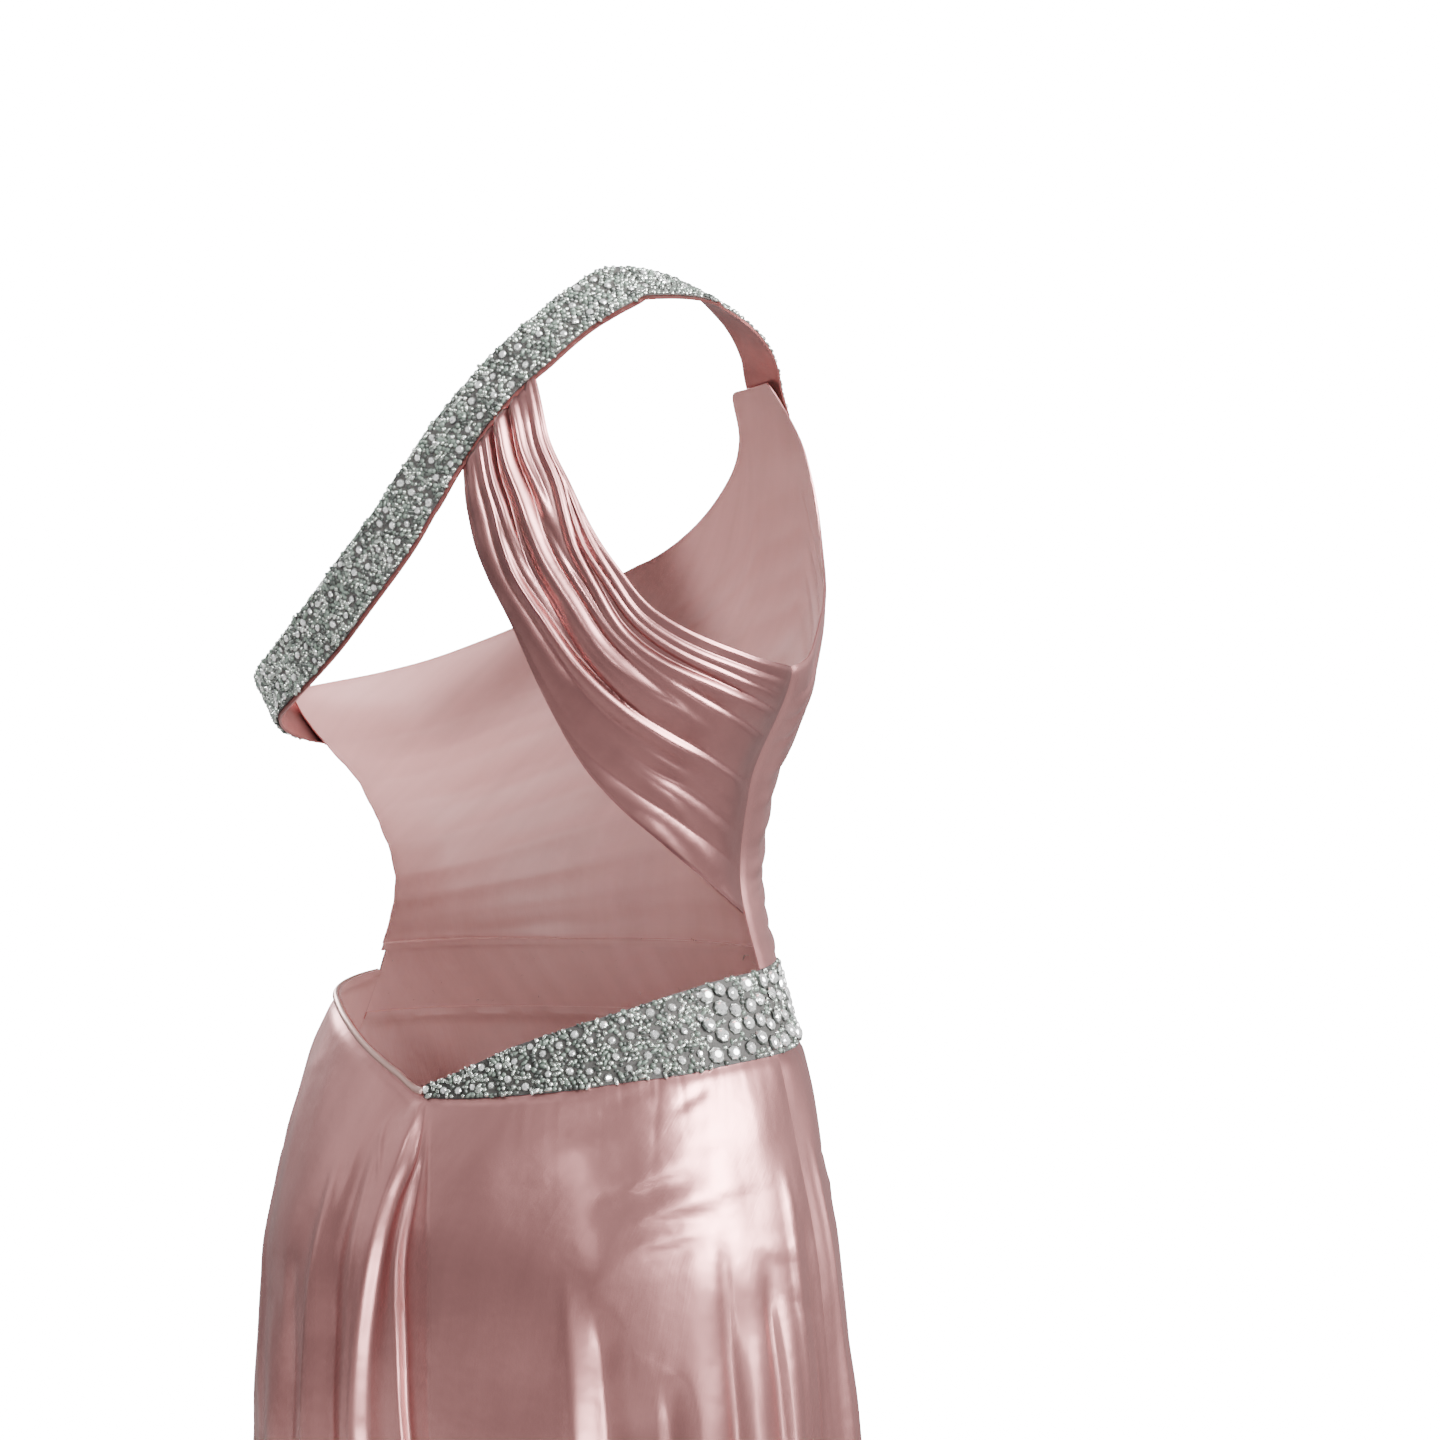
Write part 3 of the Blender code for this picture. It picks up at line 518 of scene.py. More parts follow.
def relief(tree, height, strength, distance, *below):
    """A fine relief from a noise, over the one below it where there is one."""
    links = [("Height", height), *(("Normal", normal) for normal in below)]
    made = place_node(tree, "ShaderNodeBump", links, Strength=strength, Distance=distance)
    return made.outputs["Normal"]


def shade(colour, factor):
    return tuple(channel * factor for channel in colour)


def tint(tree, shader, pattern, colour, darkest, lightest):
    """Lets the shader's colour follow a noise, which mostly lies between 0.3 and 0.7."""
    ramp = place_node(tree, "ShaderNodeValToRGB", [("Fac", pattern)])
    for end, place, tone in zip(ramp.color_ramp.elements, (0.3, 0.7), (darkest, lightest)):
        end.position = place
        end.color = (*shade(colour, tone), 1.0)
    tree.links.new(ramp.outputs["Color"], shader.inputs["Base Color"])


def satin(name, colour, roughness=0.33, metallic=0.94):
    """Satin: long fine threads, slight streaks of tone and a soft broad gloss."""
    material, tree, shader = new_shader(
        name, colour, roughness, Metallic=metallic, Sheen_Weight=0.03, Anisotropic=0.4
    )
    place = tree.nodes.new("ShaderNodeTexCoord")
    streaks = noise(tree, place.outputs["UV"], 60.0, 3.0, (1.0, 0.12, 1.0))
    tint(tree, shader, streaks, colour, 0.95, 1.05)
    threads = noise(tree, place.outputs["UV"], 900.0, 2.0, (1.0, 0.05, 1.0))
    crumple = noise(tree, place.outputs["Object"], 55.0, 2.0)
    soft = relief(tree, crumple, 0.22, 0.0020)
    tree.links.new(relief(tree, threads, 0.10, 0.0004, soft), shader.inputs["Normal"])
    return material


def glossy(name, colour, roughness, metallic, grain, specular=0.5):
    """A bead, stone or thread: its tone and polish change a little from place to place."""
    material, tree, shader = new_shader(
        name, colour, roughness, Metallic=metallic, Specular_IOR_Level=specular
    )
    place = tree.nodes.new("ShaderNodeTexCoord")
    spots = noise(tree, place.outputs["Object"], grain, 2.0)
    tint(tree, shader, spots, colour, 0.75, 1.2)
    tree.links.new(relief(tree, spots, 0.15, 0.0002), shader.inputs["Normal"])
    return material


# Pieces


def add_object(name, data):
    thing = bpy.data.objects.new(name, data)
    bpy.context.scene.collection.objects.link(thing)
    return thing


def add_piece(name, points, faces, materials, flat_shaded=False):
    mesh = bpy.data.meshes.new(name)
    mesh.from_pydata((points - SEAT).tolist(), [], faces)
    for material in materials:
        mesh.materials.append(material)
    if not flat_shaded:
        mesh.shade_smooth()
    piece = add_object(name, mesh)
    return piece


def squares(corner):
    """Faces between the rows and columns of a grid of point numbers."""
    quads = [corner[:-1, :-1], corner[:-1, 1:], corner[1:, 1:], corner[1:, :-1]]
    return np.stack(quads, -1).reshape(-1, 4)


def face_outward(mesh):
    shaped = bmesh.new()
    shaped.from_mesh(mesh)
    bmesh.ops.recalc_face_normals(shaped, faces=shaped.faces)
    shaped.to_mesh(mesh)
    shaped.free()


def lay_flat(mesh, flat):
    """Gives each corner of a cloth its place on the flat cloth, in metres."""
    corners = np.zeros(len(mesh.loops), int)
    mesh.loops.foreach_get("vertex_index", corners)
    layer = mesh.uv_layers.new(name="cloth")
    layer.data.foreach_set("uv", flat[corners].ravel())


def shell(name, points, outward, materials, thickness=SHEET):
    """A thin closed sheet: a grid of outer points, the same grid moved in, and the four rims."""
    rows, columns = points.shape[:2]
    count = rows * columns
    normal = unit(np.cross(np.gradient(points, axis=1), np.gradient(points, axis=0)))
    if (normal * outward).sum(-1).mean() < 0:
        normal = -normal
    both = np.concatenate([points.reshape(-1, 3), (points - normal * thickness).reshape(-1, 3)])
    outer = np.arange(count).reshape(rows, columns)
    edges = (outer[0], outer[-1], outer[:, 0], outer[:, -1])
    rims = [squares(np.stack([line, line + count])) for line in edges]
    faces = [squares(outer), squares(outer + count), *rims]
    piece = add_piece(name, both, np.concatenate(faces).tolist(), materials)
    mesh = piece.data
    face_outward(mesh)
    mesh.set_sharp_from_angle(angle=math.radians(SHARP_ANGLE))
    layers = np.zeros(len(mesh.polygons), int)
    layers[len(faces[0]) : 2 * len(faces[0])] = len(materials) - 1
    mesh.polygons.foreach_set("material_index", layers)
    flat = np.stack([runs_along(points, 1), runs_along(points, 0)], -1).reshape(-1, 2)
    lay_flat(mesh, np.tile(flat, (2, 1)))
    return piece


def hang(piece, *nodes):
    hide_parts(*nodes)
    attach(piece, "root")
    return piece


def cloth_piece(node, angle, height, out, materials):
    """A sheet of satin over the figure, for one node of the part."""
    points = on_figure(angle, height, out)
    piece = shell(f"{node}_cloth", points, figure_normal(angle, height), materials)
    return hang(piece, node)


def ripples(across, up, strength):
    """Slight unevenness of hanging cloth, from a few long waves. Both places are in metres."""
    random = np.random.default_rng(SEED)
    push = np.zeros(np.shape(across))
    for length in RIPPLE_LENGTHS:
        for _ in range(RIPPLES_EACH):
            way, phase = random.uniform(0, math.pi), random.uniform(0, 2 * math.pi)
            place = across * math.cos(way) + up * math.sin(way) * RIPPLES_UP
            push += np.sin(place * 2 * math.pi / length + phase) * length
    return push * strength


def waist_seam(angle):
    return read(WAIST_SEAM, angle)["height"]


def band_top(angle):
    return waist_seam(angle) + SEAM_GAP + read(BAND_HEIGHT, angle)["tall"]


def skirt_folds(angle, height):
    """How far the hanging folds push the skirt out."""
    levels = np.array([HEM_HEIGHT, MID_SKIRT, FOLD_TOP])
    down = np.clip((MID_SKIRT - height) / (MID_SKIRT - HEM_HEIGHT), 0.0, 1.0)
    rise = np.zeros(np.shape(angle))
    for fold in rows_of(SKIRT_FOLDS):
        centre = smooth(levels, np.array([fold["hem"], fold["middle"], fold["top"]]), height)
        half = fold["half_middle"] * (1 - down) + fold["half_hem"] * down
        push = fold["rise_middle"] * (1 - down) + fold["rise_hem"] * down
        grown = ease(-height, -fold["begins"], -fold["full"])
        rise += push * grown * bump(apart(angle, centre), half)
    return rise


def main_fold(angle, height):
    """The main fold: soft steps from one part of its cross-section to the next."""
    fold = read(MAIN_FOLD, height)
    places = [fold[part] for part in FOLD_PARTS]
    rises = [0.0] + [fold[f"{part}_out"] / 1000 for part in FOLD_PARTS[1:-1]]
    away = apart(angle, 0.0)
    rise = np.zeros(np.shape(angle))
    for i in range(len(rises) - 1):
        rise += (rises[i + 1] - rises[i]) * ease(away, places[i], places[i + 1])
    up_to_lip = np.clip((away - places[-2]) / (places[-1] - places[-2]), 0.0, 1.0)
    rise -= rises[-1] * up_to_lip**LIP_POWER
    return rise * (1 - ease(-height, *MAIN_FOLD_FADES))


def skirt_creases(angle, height):
    """Sharper ridges and troughs that hang down from the waist."""
    rise = np.zeros(np.shape(angle))
    for crease in rows_of(SKIRT_CREASES):
        top, foot = crease["top"] / 1000, crease["foot"] / 1000
        centre = smooth(np.linspace(foot, top, 4), stations(crease, "angle", 4)[::-1], height)
        away = apart(angle, centre)
        half = np.where(away < 0, crease["left"], crease["right"])
        down = np.clip((top - height) / (top - foot), 0.0, 1.0)
        push = (crease["rise_top"] * (1 - down) + crease["rise_foot"] * down) / 1000
        shown = ease(top - height, 0.0, CREASE_BEGINS)
        shown = shown * ease(height - foot, 0.0, CREASE_FADES * (top - foot))
        rise += push * shown * bump(away, half)
    return rise


def skirt_wrinkles(angle, height):
    rise = np.zeros(np.shape(angle))
    for line in rows_of(WRINKLES):
        start = np.array([line["angle0"] * DEGREE, line["height0"] / 1000])
        end = np.array([line["angle1"] * DEGREE, line["height1"] / 1000])
        run = np.linalg.norm(end - start)
        way = (end - start) / run
        x, y = apart(angle, line["angle0"]) * DEGREE, height - start[1]
        along, away = x * way[0] + y * way[1], -x * way[1] + y * way[0]
        fade = (-WRINKLE_PAST, run * WRINKLE_FADES)
        shown = ease(along, *fade) * ease(run - along, *fade)
        rise += line["rise"] / 1000 * shown * bump(away, line["half"] / 1000)
    return rise


def puckers(angle, height):
    """Fine gathers just under the waist seam, from short ridges of different length."""
    random = np.random.default_rng(SEED)
    rise = np.zeros(np.shape(angle))
    depth = waist_seam(angle) - height
    for centre in np.arange(LEFT_SEAM, LEFT_SEAM + FULL_TURN, PUCKER_SPACING):
        place = centre + random.uniform(-PUCKER_WANDER, PUCKER_WANDER)
        long = random.uniform(*PUCKER_LONG)
        push = random.uniform(*PUCKER_RISE) / 1000
        lean = random.uniform(-PUCKER_LEAN, PUCKER_LEAN)
        plain = PUCKERS_LEFT if place < PUCKERS_FROM else 1.0
        ridge = bump(apart(angle, place + lean * depth), PUCKER_HALF)
        rise += plain * push * ridge * np.exp(-depth / long)
    return rise


def tuck_behind(angle, height, out, way):
    """Adds a seam allowance that runs behind the band, above (1) or below (-1) the cloth."""
    edge = -1 if way > 0 else 0
    steps = (SEAM_GAP, ALLOWANCE)
    angles = [angle[edge], angle[edge]]
    heights = [height[edge] + way * step for step in steps]
    outs = [np.full(angle.shape[1], ALLOWANCE_OUT) for _ in steps]
    grids = (angle, angles), (height, heights), (out, outs)
    if way > 0:
        return [np.vstack([cloth, *extra]) for cloth, extra in grids]
    return [np.vstack([*extra[::-1], cloth]) for cloth, extra in grids]


def skirt_panel(node, materials, seams, cells, crowded):
    """Half of the skirt, between two side seams, with more columns round two of its angles."""
    fine = np.linspace(*seams, CROWD_STEPS)
    crowd = 1 + FOLD_CROWD * bump(fine - crowded[0], FOLD_CROWD_HALF)
    crowd = np.cumsum(crowd + WRINKLE_CROWD * bump(fine - crowded[1], WRINKLE_CROWD_HALF))
    crowd = (crowd - crowd[0]) / (crowd[-1] - crowd[0])
    up, across = grid(*cells)
    angle = np.interp(across, crowd, fine)
    waist = waist_seam(angle)
    level = YOKE_LEVEL + (HEM_HEIGHT - YOKE_LEVEL) * (1 - up) ** LEVEL_CROWD
    height = level + (waist - YOKE_LEVEL) * ease(level, YOKE_FOOT, YOKE_LEVEL)
    degree = DEGREE + DEGREE_WIDENS * ease(-height, *WIDENS_BETWEEN)
    folds = skirt_folds(angle, height) + main_fold(angle, height) + skirt_creases(angle, height)
    waves = ripples(angle * degree, height, SKIRT_RIPPLES) * ease(waist - height, 0.0, SKIRT_CALM)
    small = skirt_wrinkles(angle, height) + puckers(angle, height) + waves
    edge = sum(bump(away * degree, SEAM_DIP_WIDTH) for away in (angle - seams[0], seams[1] - angle))
    hem = HEM_THICKER * ease(HEM_HEIGHT + HEM_TALL - height, 0.0, HEM_EDGE)
    groove = HEM_GROOVE * bump(height - HEM_HEIGHT - HEM_TALL, HEM_GROOVE_WIDTH)
    under_band = BAND_DIP * bump(waist - height, BAND_DIP_WIDTH) * (1 - edge)
    out = CLOTH_OUT + CLOTH + folds + small * (1 - SEAM_CALM * edge) - SEAM_DIP * edge
    out = out + hem - groove - under_band
    return cloth_piece(node, *tuck_behind(angle, height, out, 1), materials)


def pleats(rows, along, across, counts, halves):
    """How far pleats push a cloth out: the higher one wins, with a soft change.

    counts says at how many stations the table gives their place and rise, halves which columns
    hold their half widths on the two sides.
    """
    total = np.zeros(np.shape(along))
    for pleat in rows_of(rows):
        place, rise = (
            smooth(np.linspace(0, 1, count), stations(pleat, name, count), along)
            for name, count in zip(("place", "rise"), counts)
        )
        away = across - place
        half = np.where(away < 0, pleat[halves[0]], pleat[halves[1]])
        shape = np.clip(1 - (away / (PLEAT_FOOT * half)) ** 2, 0.0, 1.0)
        total += (np.maximum(rise / 1000, 0) * shape) ** PLEAT_BLEND
    return total ** (1 / PLEAT_BLEND)


def back_drape(materials):
    across, along = grid(*DRAPE_GRID)
    edge = read(DRAPE_EDGES, along)
    angle = edge["upper_angle"] * (1 - across) + edge["lower_angle"] * across
    height = edge["upper_height"] * (1 - across) + edge["lower_height"] * across
    angle = np.minimum(angle, DRAPE_SEAM)
    rolled = EDGE_ROLL * (bump(across, DRAPE_ROLLS[0]) + bump(1 - across, DRAPE_ROLLS[1]))
    waves = ripples(along * DRAPE_FLAT[0], across * DRAPE_FLAT[1], DRAPE_RIPPLES)
    folds = pleats(PLEATS, along, across, (6, 6), ("upper", "lower"))
    folds = (folds + waves) * ease(1 - along, 0.0, DRAPE_FLAT_SIDE)
    seam = SEAM_DIP * bump(1 - along, SEAM_DIP_WIDTH / DRAPE_LONG)
    out = CLOTH_OUT - DRAPE_TUCK + folds - rolled - seam
    out = DRAPE_TUCK + CLOTH + out * ease(along, *DRAPE_LEAVES_STRAP)
    return cloth_piece("back_drape", angle, height, out, materials)


def bodice_front(materials):
    """Front panel, from the right side seam to the left edge, up to the shoulder strap."""
    up, along = grid(*BODICE_GRID)
    low_angle = DRAPE_SEAM + (BODICE_LEFT_EDGE - DRAPE_SEAM) * along
    low, top = band_top(low_angle) + SEAM_GAP, read(FRONT_TOP, along)
    angle = low_angle + (np.maximum(top["angle"], DRAPE_SEAM) - low_angle) * up
    height = low + (top["height"] - low) * up
    rolled = EDGE_ROLL * (bump(1 - up, BODICE_ROLLS[0]) + bump(1 - along, BODICE_ROLLS[1]))
    waves = ripples(angle * DEGREE, height, BODICE_RIPPLES) * ease(up, 0.0, BODICE_CALM[0])
    folds = pleats(FRONT_FOLDS, along, up, (5, 3), ("half", "half"))
    folds = folds * ease(1 - up, 0.0, FRONT_FLAT_TOP) * ease(up, 0.0, BODICE_CALM[1])
    folds = (folds + waves) * ease(along, 0.0, FRONT_FLAT_SIDE)
    seam = SEAM_DIP * bump((angle - DRAPE_SEAM) * DEGREE, SEAM_DIP_WIDTH)
    out = CLOTH_OUT + CLOTH + folds - rolled - seam
    return cloth_piece("bodice_front", *tuck_behind(angle, height, out, -1), materials)


# Ribbons: a place on one is a run along it and a distance across it, in metres


class Strap:
    """The strap from the left underarm over the right shoulder to the front."""

    def __init__(self):
        self.runs = runs_along(on_figure(STRAP_PATH["angle"], STRAP_PATH["height"]))
        self.length = self.runs[-1]

    def value(self, name, run):
        return smooth(self.runs, STRAP_PATH[name], run)

    def spot(self, run):
        return self.value("angle", run), self.value("height", run)

    def middle(self, run):
        return on_figure(*self.spot(run), self.value("out", run))

    def place(self, run, across, lift):
        """across is measured from the middle and grows towards the upper edge."""
        step = 0.002
        normal = figure_normal(*self.spot(run))
        side = unit(np.cross(normal, unit(self.middle(run + step) - self.middle(run - step))))
        return self.middle(run) + side * across[..., None] + normal * np.asarray(lift)[..., None]

    def edges(self, run):
        half = self.value("width", run) / 2
        return -half, half


class Band:
    """The beaded band above the waist seam."""

    def __init__(self):
        first, last = LOW_BACK_ANGLE + LOW_BACK_GAP, LEFT_SEAM + FULL_TURN - HALF_SEAM_ANGLE
        self.angles = np.linspace(first, last, BAND_STEPS)
        self.runs = runs_along(on_figure(self.angles, band_top(self.angles)))
        self.length = self.runs[-1]

    def angle(self, run):
        return np.interp(run, self.runs, self.angles)

    def place(self, run, across, lift):
        """across is the height above the seam."""
        angle = self.angle(run)
        return on_figure(angle, waist_seam(angle) + SEAM_GAP + across, CLOTH_OUT + lift)

    def edges(self, run):
        angle = self.angle(run)
        return np.full(np.shape(run), -BAND_OVERLAP), band_top(angle) - waist_seam(angle) - SEAM_GAP


def ribbon(name, path, materials, node, low_lift, high_lift, margin=0.0, inset=0.0):
    """A cloth strip along a path, wider by a margin below and narrower by an inset above."""
    across, along = grid(*RIBBON_GRID)
    run = along * path.length
    low, high = path.edges(run)
    spot = low - margin + (high - low + margin - inset) * across
    points = path.place(run, spot, high_lift + np.zeros(np.shape(run)))
    outward = path.place(run, spot, high_lift + np.full(np.shape(run), 0.001)) - points
    piece = shell(name, points, outward, materials, high_lift - low_lift)
    return hang(piece, node)


def dome(sides):
    """A bead: a round dome with an open foot that sits in the cloth."""
    rings = [circle(sides) * wide + (0, 0, high) for wide, high in BEAD_RINGS]
    faces = []
    for i in range(sides):
        j = (i + 1) % sides
        faces += [(i, j, sides + j), (i, sides + j, sides + i), (sides + i, sides + j, 2 * sides)]
    return np.concatenate([*rings, [(0, 0, 1.0)]]), np.array(faces), np.zeros(len(faces), int)


def brilliant(sides):
    """A faceted round stone in a low metal cup, with two rows of facets round its table."""
    rings = [circle(sides) * wide + (0, 0, high) for wide, high in STONE_RINGS]
    rings[3] = circle(sides, math.pi / sides) * STONE_RINGS[3][0] + (0, 0, STONE_RINGS[3][1])
    points = np.concatenate([*rings, [(0, 0, STONE_RINGS[-1][1])]])
    faces, kinds = [], []
    for i in range(sides):
        j = (i + 1) % sides
        for low, high in ((0, sides), (sides, 2 * sides)):
            faces += [(low + i, low + j, high + j), (low + i, high + j, high + i)]
        girdle, middle, top = 2 * sides, 3 * sides, 4 * sides
        faces += [(girdle + i, girdle + j, middle + i), (girdle + j, middle + j, middle + i)]
        faces += [(middle + i, top + j, top + i), (middle + i, middle + j, top + j)]
        faces += [(top + i, top + j, 5 * sides)]
        kinds += [1, 1, 1, 1, 0, 0, 0, 0, 0]
    return points, np.array(faces), np.array(kinds)


def scatter(path, count, apart_by, margin, random, first, last):
    """Places for stones on a ribbon, each well away from the others."""
    kept = []
    for _ in range(count * STONE_TRIES):
        run = random.uniform(first, last) * path.length
        low, high = path.edges(np.array(run))
        if high - low < STONE_ROOM * margin:
            continue
        spot = random.uniform(low + margin, high - margin)
        if all(math.hypot(run - r, spot - s) > apart_by for r, s in kept):
            kept.append((run, spot))
        if len(kept) == count:
            break
    return np.array(kept)


def lay_stones(path, rows, ends, spread, random):
    """Places and radii of a ribbon's stones, from one end of each of its parts to the next."""
    pairs = zip(rows, zip(ends, ends[1:]))
    parts = [scatter(path, *row[:3], random, *between) for row, between in pairs]
    radii = np.concatenate([np.full(len(part), row[3]) for part, row in zip(parts, rows)])
    return np.concatenate(parts), radii * random.uniform(*spread, len(radii))


def packed_places(path, random):
    """Rows of bead places over a ribbon, staggered and a little uneven."""
    pitch, uneven = BEAD_PITCH, BEAD_UNEVEN * BEAD_PITCH
    runs = np.arange(pitch / 2, path.length, pitch)
    low, high = path.edges(runs)
    lines = np.arange(0, (high - low).max() / (pitch * BEAD_LINES))
    line, run = np.meshgrid(lines, runs, indexing="ij")
    run = run + (line % 2) * pitch / 2 + random.normal(0, uneven, run.shape)
    low, high = path.edges(run)
    count = np.maximum(np.round((high - low) / (pitch * BEAD_LINES)), 1)
    spot = low + (line + 0.5) * (high - low) / count + random.normal(0, uneven, run.shape)
    keep = (line < count) & (run > BEAD_RADIUS) & (run < path.length - BEAD_RADIUS * ROD_STRETCH)
    return run[keep], spot[keep]


def studs(name, path, template, places, sizes, tilts, kinds, materials, node, flat_shaded=False):
    """Copies of a small form set on a ribbon.

    places holds run, spot, lift and turn, sizes its half length, half width and height.
    """
    run, spot, lift, turns = places
    step = 0.0005
    points, faces, parts = template
    middle = path.place(run, spot, lift)
    along = unit(path.place(run + step, spot, lift) - path.place(run - step, spot, lift))
    normal = unit(path.place(run, spot, lift + step) - middle)
    side = np.cross(normal, along)
    normal = unit(normal + along * tilts[:, :1] + side * tilts[:, 1:])
    along = unit(along - normal * (along * normal).sum(-1, keepdims=True))
    side = np.cross(normal, along)
    x = along * np.cos(turns)[:, None] + side * np.sin(turns)[:, None]
    placed = middle[:, None] + sum(
        way[:, None] * (points[:, i] * sizes[:, i : i + 1])[..., None]
        for i, way in enumerate((x, np.cross(normal, x), normal))
    )
    numbers = (faces[None] + (np.arange(len(run)) * len(points))[:, None, None]).reshape(-1, 3)
    placed = placed.reshape(-1, 3)
    piece = add_piece(name, placed, numbers.tolist(), materials, flat_shaded)
    index = (kinds[:, None] + parts[None]).astype(int).ravel()
    piece.data.polygons.foreach_set("material_index", index)
    return hang(piece, node)


def beadwork(prefix, path, node, lift, stone_places, stone_radii, looks, random):
    """Beads and stones that cover a ribbon."""
    run, spot = packed_places(path, random)
    away = np.hypot(run[:, None] - stone_places[:, 0], spot[:, None] - stone_places[:, 1])
    clear = (away > stone_radii * STONE_CLEARS + BEAD_RADIUS * BEAD_CLEARS).all(1)
    count = clear.sum()
    rod = random.random(count) < ROD_SHARE
    radius = BEAD_RADIUS * random.uniform(*BEAD_WIDTHS, count)
    long = radius * np.where(rod, ROD_STRETCH, 1.0)
    sizes = np.stack([long, radius, radius * random.uniform(*BEAD_HEIGHTS, count)], 1)
    sizes[rod, 1] *= ROD_NARROWS
    turns = random.uniform(0, math.pi, count)
    kinds = random.choice(len(BEAD_KINDS), count, p=BEAD_KINDS)
    lifts = lift + random.uniform(*BEAD_LIFTS, count)
    tilts = random.normal(0, BEAD_TILT, (count, 2))
    places = (run[clear], spot[clear], lifts, turns)
    made = (places, sizes, tilts, kinds, looks[0], node)
    beads = studs(f"{prefix}_beads", path, dome(STUD_SIDES), *made)

    sizes = np.stack([stone_radii, stone_radii, stone_radii * STONE_TALL], 1)
    count = len(stone_places)
    turns = random.uniform(0, math.pi, count)
    kinds = np.zeros(count, int)
    tilts = random.normal(0, STONE_TILT, (count, 2))
    places = (*stone_places.T, np.full(count, lift), turns)
    made = (places, sizes, tilts, kinds, looks[1], node, True)
    return [beads, studs(f"{prefix}_stones", path, brilliant(STUD_SIDES), *made)]


def binding_roll(material):
    """Rolled edge along the left side of the low back."""
    sides, columns = ROLL_GRID
    first, last = LEFT_SEAM + HALF_SEAM_ANGLE, LOW_BACK_ANGLE - ROLL_GAP
    turns = np.arange(sides) * 2 * math.pi / sides
    turn, along = np.meshgrid(turns, np.linspace(0, 1, columns), indexing="ij")
    angle = first + (last - first) * along
    height = waist_seam(angle) + SEAM_GAP + BINDING_RADII[0] * (1 + np.cos(turn))
    points = on_figure(angle, height, CLOTH_OUT + BINDING_RADII[1] * (1 + np.sin(turn)))
    numbers = np.arange(sides * columns).reshape(sides, columns)
    ends = [numbers[:, 0].tolist(), numbers[::-1, -1].tolist()]
    faces = squares(np.concatenate([numbers, numbers[:1]])).tolist() + ends
    piece = add_piece("binding_roll", points.reshape(-1, 3), faces, [material])
    face_outward(piece.data)
    lay_flat(piece.data, (np.stack([along, turn], -1) * ROLL_FLAT).reshape(-1, 2))
    return hang(piece, "back_binding")


# Studio


def aim(thing, way):
    thing.rotation_euler = Vector(way).to_track_quat("-Z", "Y").to_euler()


def area_light(name, angle, distance, height, target, size, power, spread):
    """A soft box at an angle round the dress, as seen from above, and a height from the waist."""
    light = bpy.data.lights.new(name, "AREA")
    light.shape = "RECTANGLE"
    light.size, light.size_y = size
    light.energy = power
    light.spread = math.radians(spread)
    lamp = add_object(name, light)
    turn = math.radians(angle)
    place = Vector((-math.sin(turn) * distance, math.cos(turn) * distance, height))
    lamp.location = place - Vector(SEAT)
    aim(lamp, Vector(target) - Vector(SEAT) - lamp.location)


def camera():
    data = bpy.data.cameras.new("camera")
    data.lens, data.sensor_width = LENS, SENSOR
    eye = add_object("camera", data)
    eye.location = Vector(CAMERA_PLACE) - Vector(SEAT)
    aim(eye, CAMERA_WAY)
    bpy.context.scene.camera = eye


def floor():
    """A wide pale round floor just under the hem."""
    points = circle(FLOOR_SIDES) * FLOOR_RADIUS + (0, 0, HEM_HEIGHT - FLOOR_GAP)
    mesh = bpy.data.meshes.new("floor")
    mesh.from_pydata((points - SEAT).tolist(), [], [list(range(FLOOR_SIDES))])
    mesh.materials.append(new_shader("floor", FLOOR_COLOUR, 0.6)[0])
    ground = add_object("floor", mesh)


def world():
    """White to look at, with a dim even light that is stronger from above."""
    made = bpy.data.worlds.new("studio")
    bpy.context.scene.world = made
    made.use_nodes = True
    tree = made.node_tree
    shine = tree.nodes["Background"]
    way = tree.nodes.new("ShaderNodeTexCoord").outputs["Generated"]
    parts = place_node(tree, "ShaderNodeSeparateXYZ", [(0, way)])
    spread = place_node(
        tree, "ShaderNodeMapRange", [("Value", parts.outputs["Z"])],
        From_Min=-0.6, From_Max=0.9, To_Min=0.28, To_Max=0.60,
    )
    spread.interpolation_type = "SMOOTHSTEP"
    seen = tree.nodes.new("ShaderNodeLightPath").outputs["Is Camera Ray"]
    brighter = place_node(tree, "ShaderNodeMath", [(0, seen), (2, spread.outputs["Result"])])
    brighter.operation = "MULTIPLY_ADD"
    brighter.inputs[1].default_value = BACKDROP
    tree.links.new(brighter.outputs["Value"], shine.inputs["Strength"])
    shine.inputs["Color"].default_value = (1.0, 1.0, 1.0, 1.0)


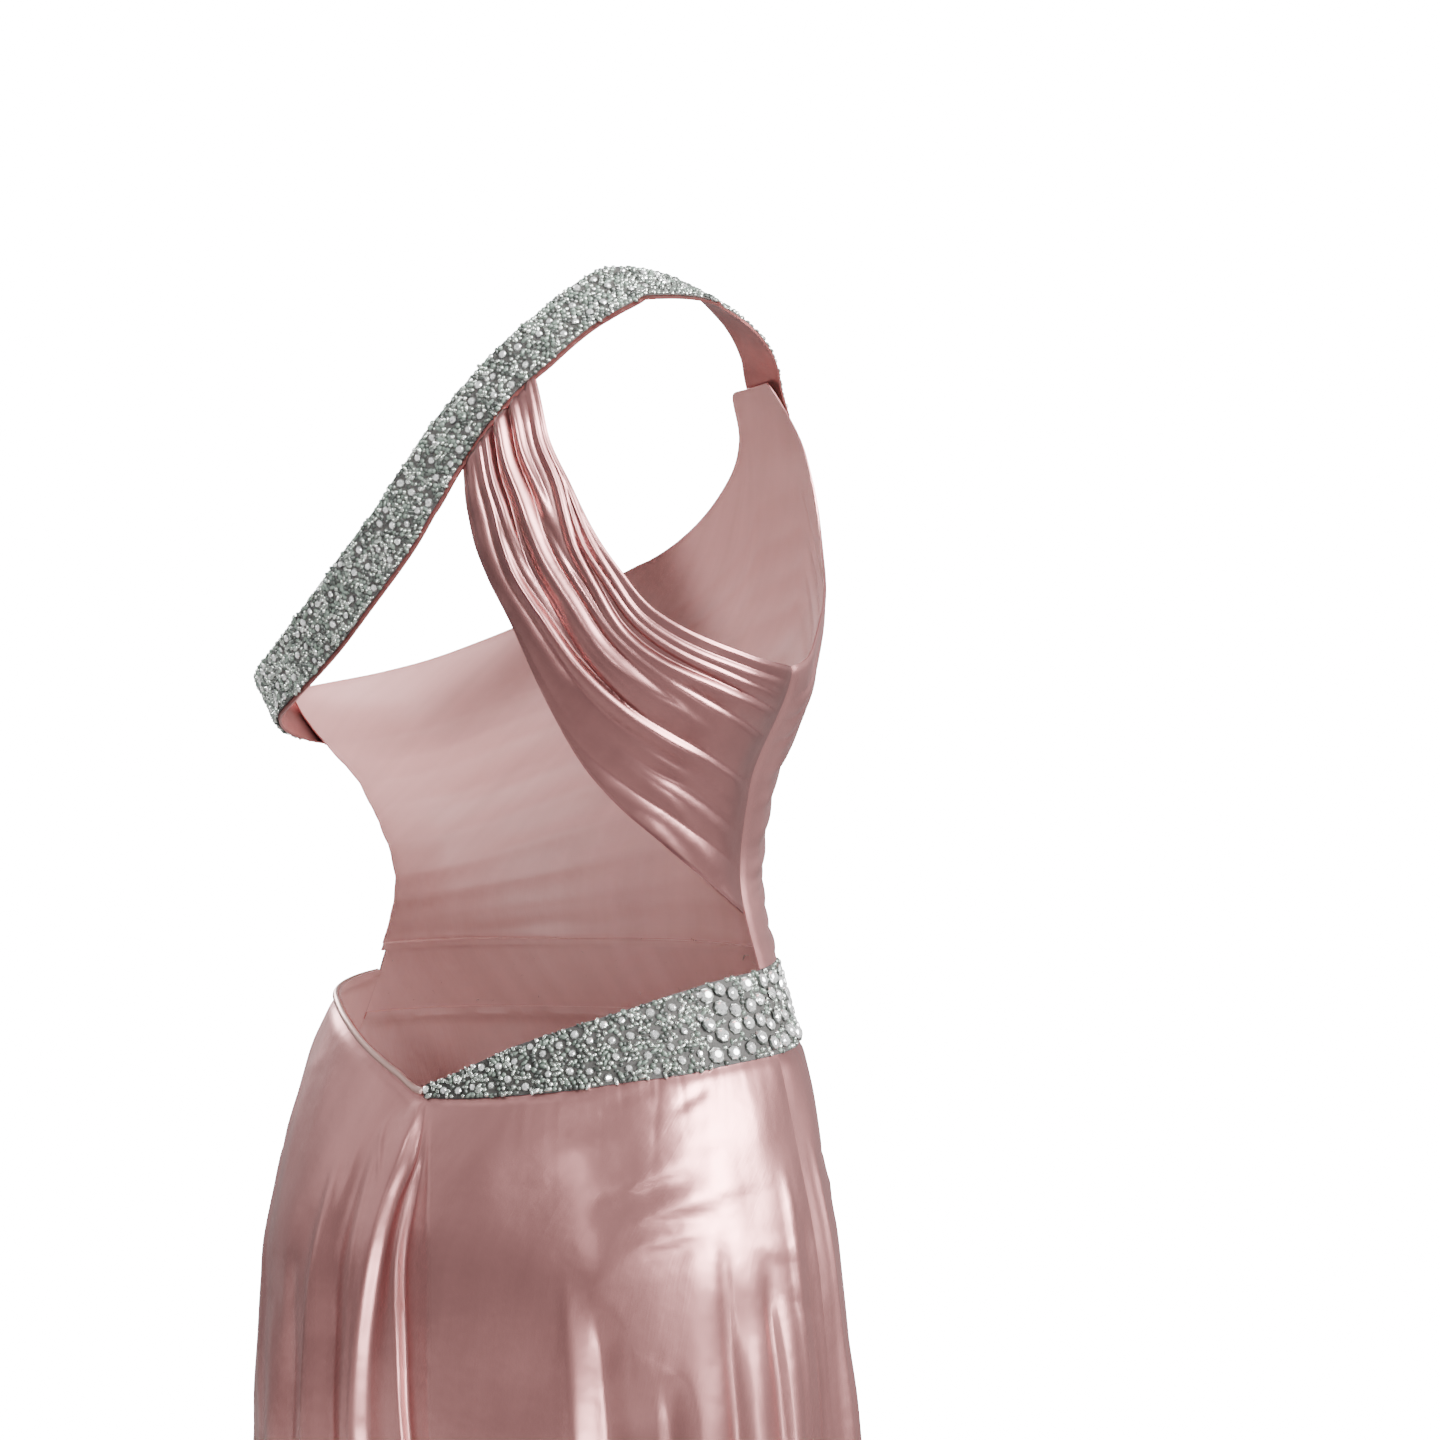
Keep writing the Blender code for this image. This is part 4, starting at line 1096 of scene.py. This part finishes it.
def main():
    camera()
    world()
    floor()
    for name, lamp in LAMPS.items():
        area_light(name, *lamp)
    for turn in CEILING_TURNS:
        area_light(f"ceiling_{turn:.0f}", turn, *CEILING_LAMP)

    inside = satin("satin_inside", SATIN_INSIDE, roughness=0.55, metallic=0.0)
    cloth = [satin("satin", SATIN), inside]
    skirt_back = skirt_panel("skirt_back", cloth, *BACK_PANEL)
    skirt_front = skirt_panel("skirt_front", cloth, *FRONT_PANEL)
    front = bodice_front(cloth)
    # The drape gets a darker copy of the satin: painted shade
    drape = back_drape([satin("satin_drape_painted_shade", shade(SATIN, DRAPE_PAINTED_SHADE), roughness=0.29), inside])

    random = np.random.default_rng(SEED)
    strap, band = Strap(), Band()
    beads = [
        glossy("silver_bead", (0.45, 0.49, 0.45), 0.20, 0.85, 260.0),
        glossy("glass_bead", (0.17, 0.21, 0.18), 0.12, 0.3, 320.0, 0.9),
        glossy("dark_bead", (0.050, 0.058, 0.052), 0.16, 0.0, 320.0, 0.8),
        glossy("bright_bead", (0.86, 0.89, 0.85), 0.10, 0.9, 260.0),
    ]
    stones = [
        glossy("clear_stone", (0.97, 0.98, 0.97), 0.10, 0.75, 500.0, 1.0),
        glossy("stone_cup", (0.20, 0.21, 0.20), 0.3, 0.9, 500.0),
    ]
    looks = (beads, stones)
    deep = satin("strap_satin", SATIN_DEEP)
    # The net under the beads is a real part, but its near-black colour is painted shade in the gaps
    # between the beads
    net_painted_shade = [glossy("bead_net_painted_shade", (0.060, 0.058, 0.055), 0.7, 0.0, 900.0, 0.3), inside]
    backing = ribbon(
        "strap_backing_cloth", strap, [deep], "strap_backing", 0.0, BACKING_WALL,
        margin=BACKING_MARGIN, inset=BACKING_INSET,
    )
    lift = BACKING_WALL + SEAM_GAP
    top = lift + SHEET
    strap_base = ribbon("strap_base", strap, net_painted_shade, "shoulder_strap", lift, top)
    laid = lay_stones(strap, STRAP_STONES, (STONES_END, 1 - STONES_END), (0.85, 1.15), random)
    strap_trim = beadwork("strap", strap, "shoulder_strap", top - STUDS_SINK, *laid, looks, random)

    band_base = ribbon("band_base", band, net_painted_shade, "waist_band", 0.0, SHEET)
    first, last = (np.interp(angle, band.angles, band.runs) / band.length for angle in BIG_STONES)
    ends = (0.0, first, last, 1 - STONES_END)
    laid = lay_stones(band, BAND_STONES, ends, (0.88, 1.12), random)
    band_trim = beadwork("band", band, "waist_band", SHEET - STUDS_SINK, *laid, looks, random)
    roll = binding_roll(satin("binding_satin", SATIN_PALE))


main()
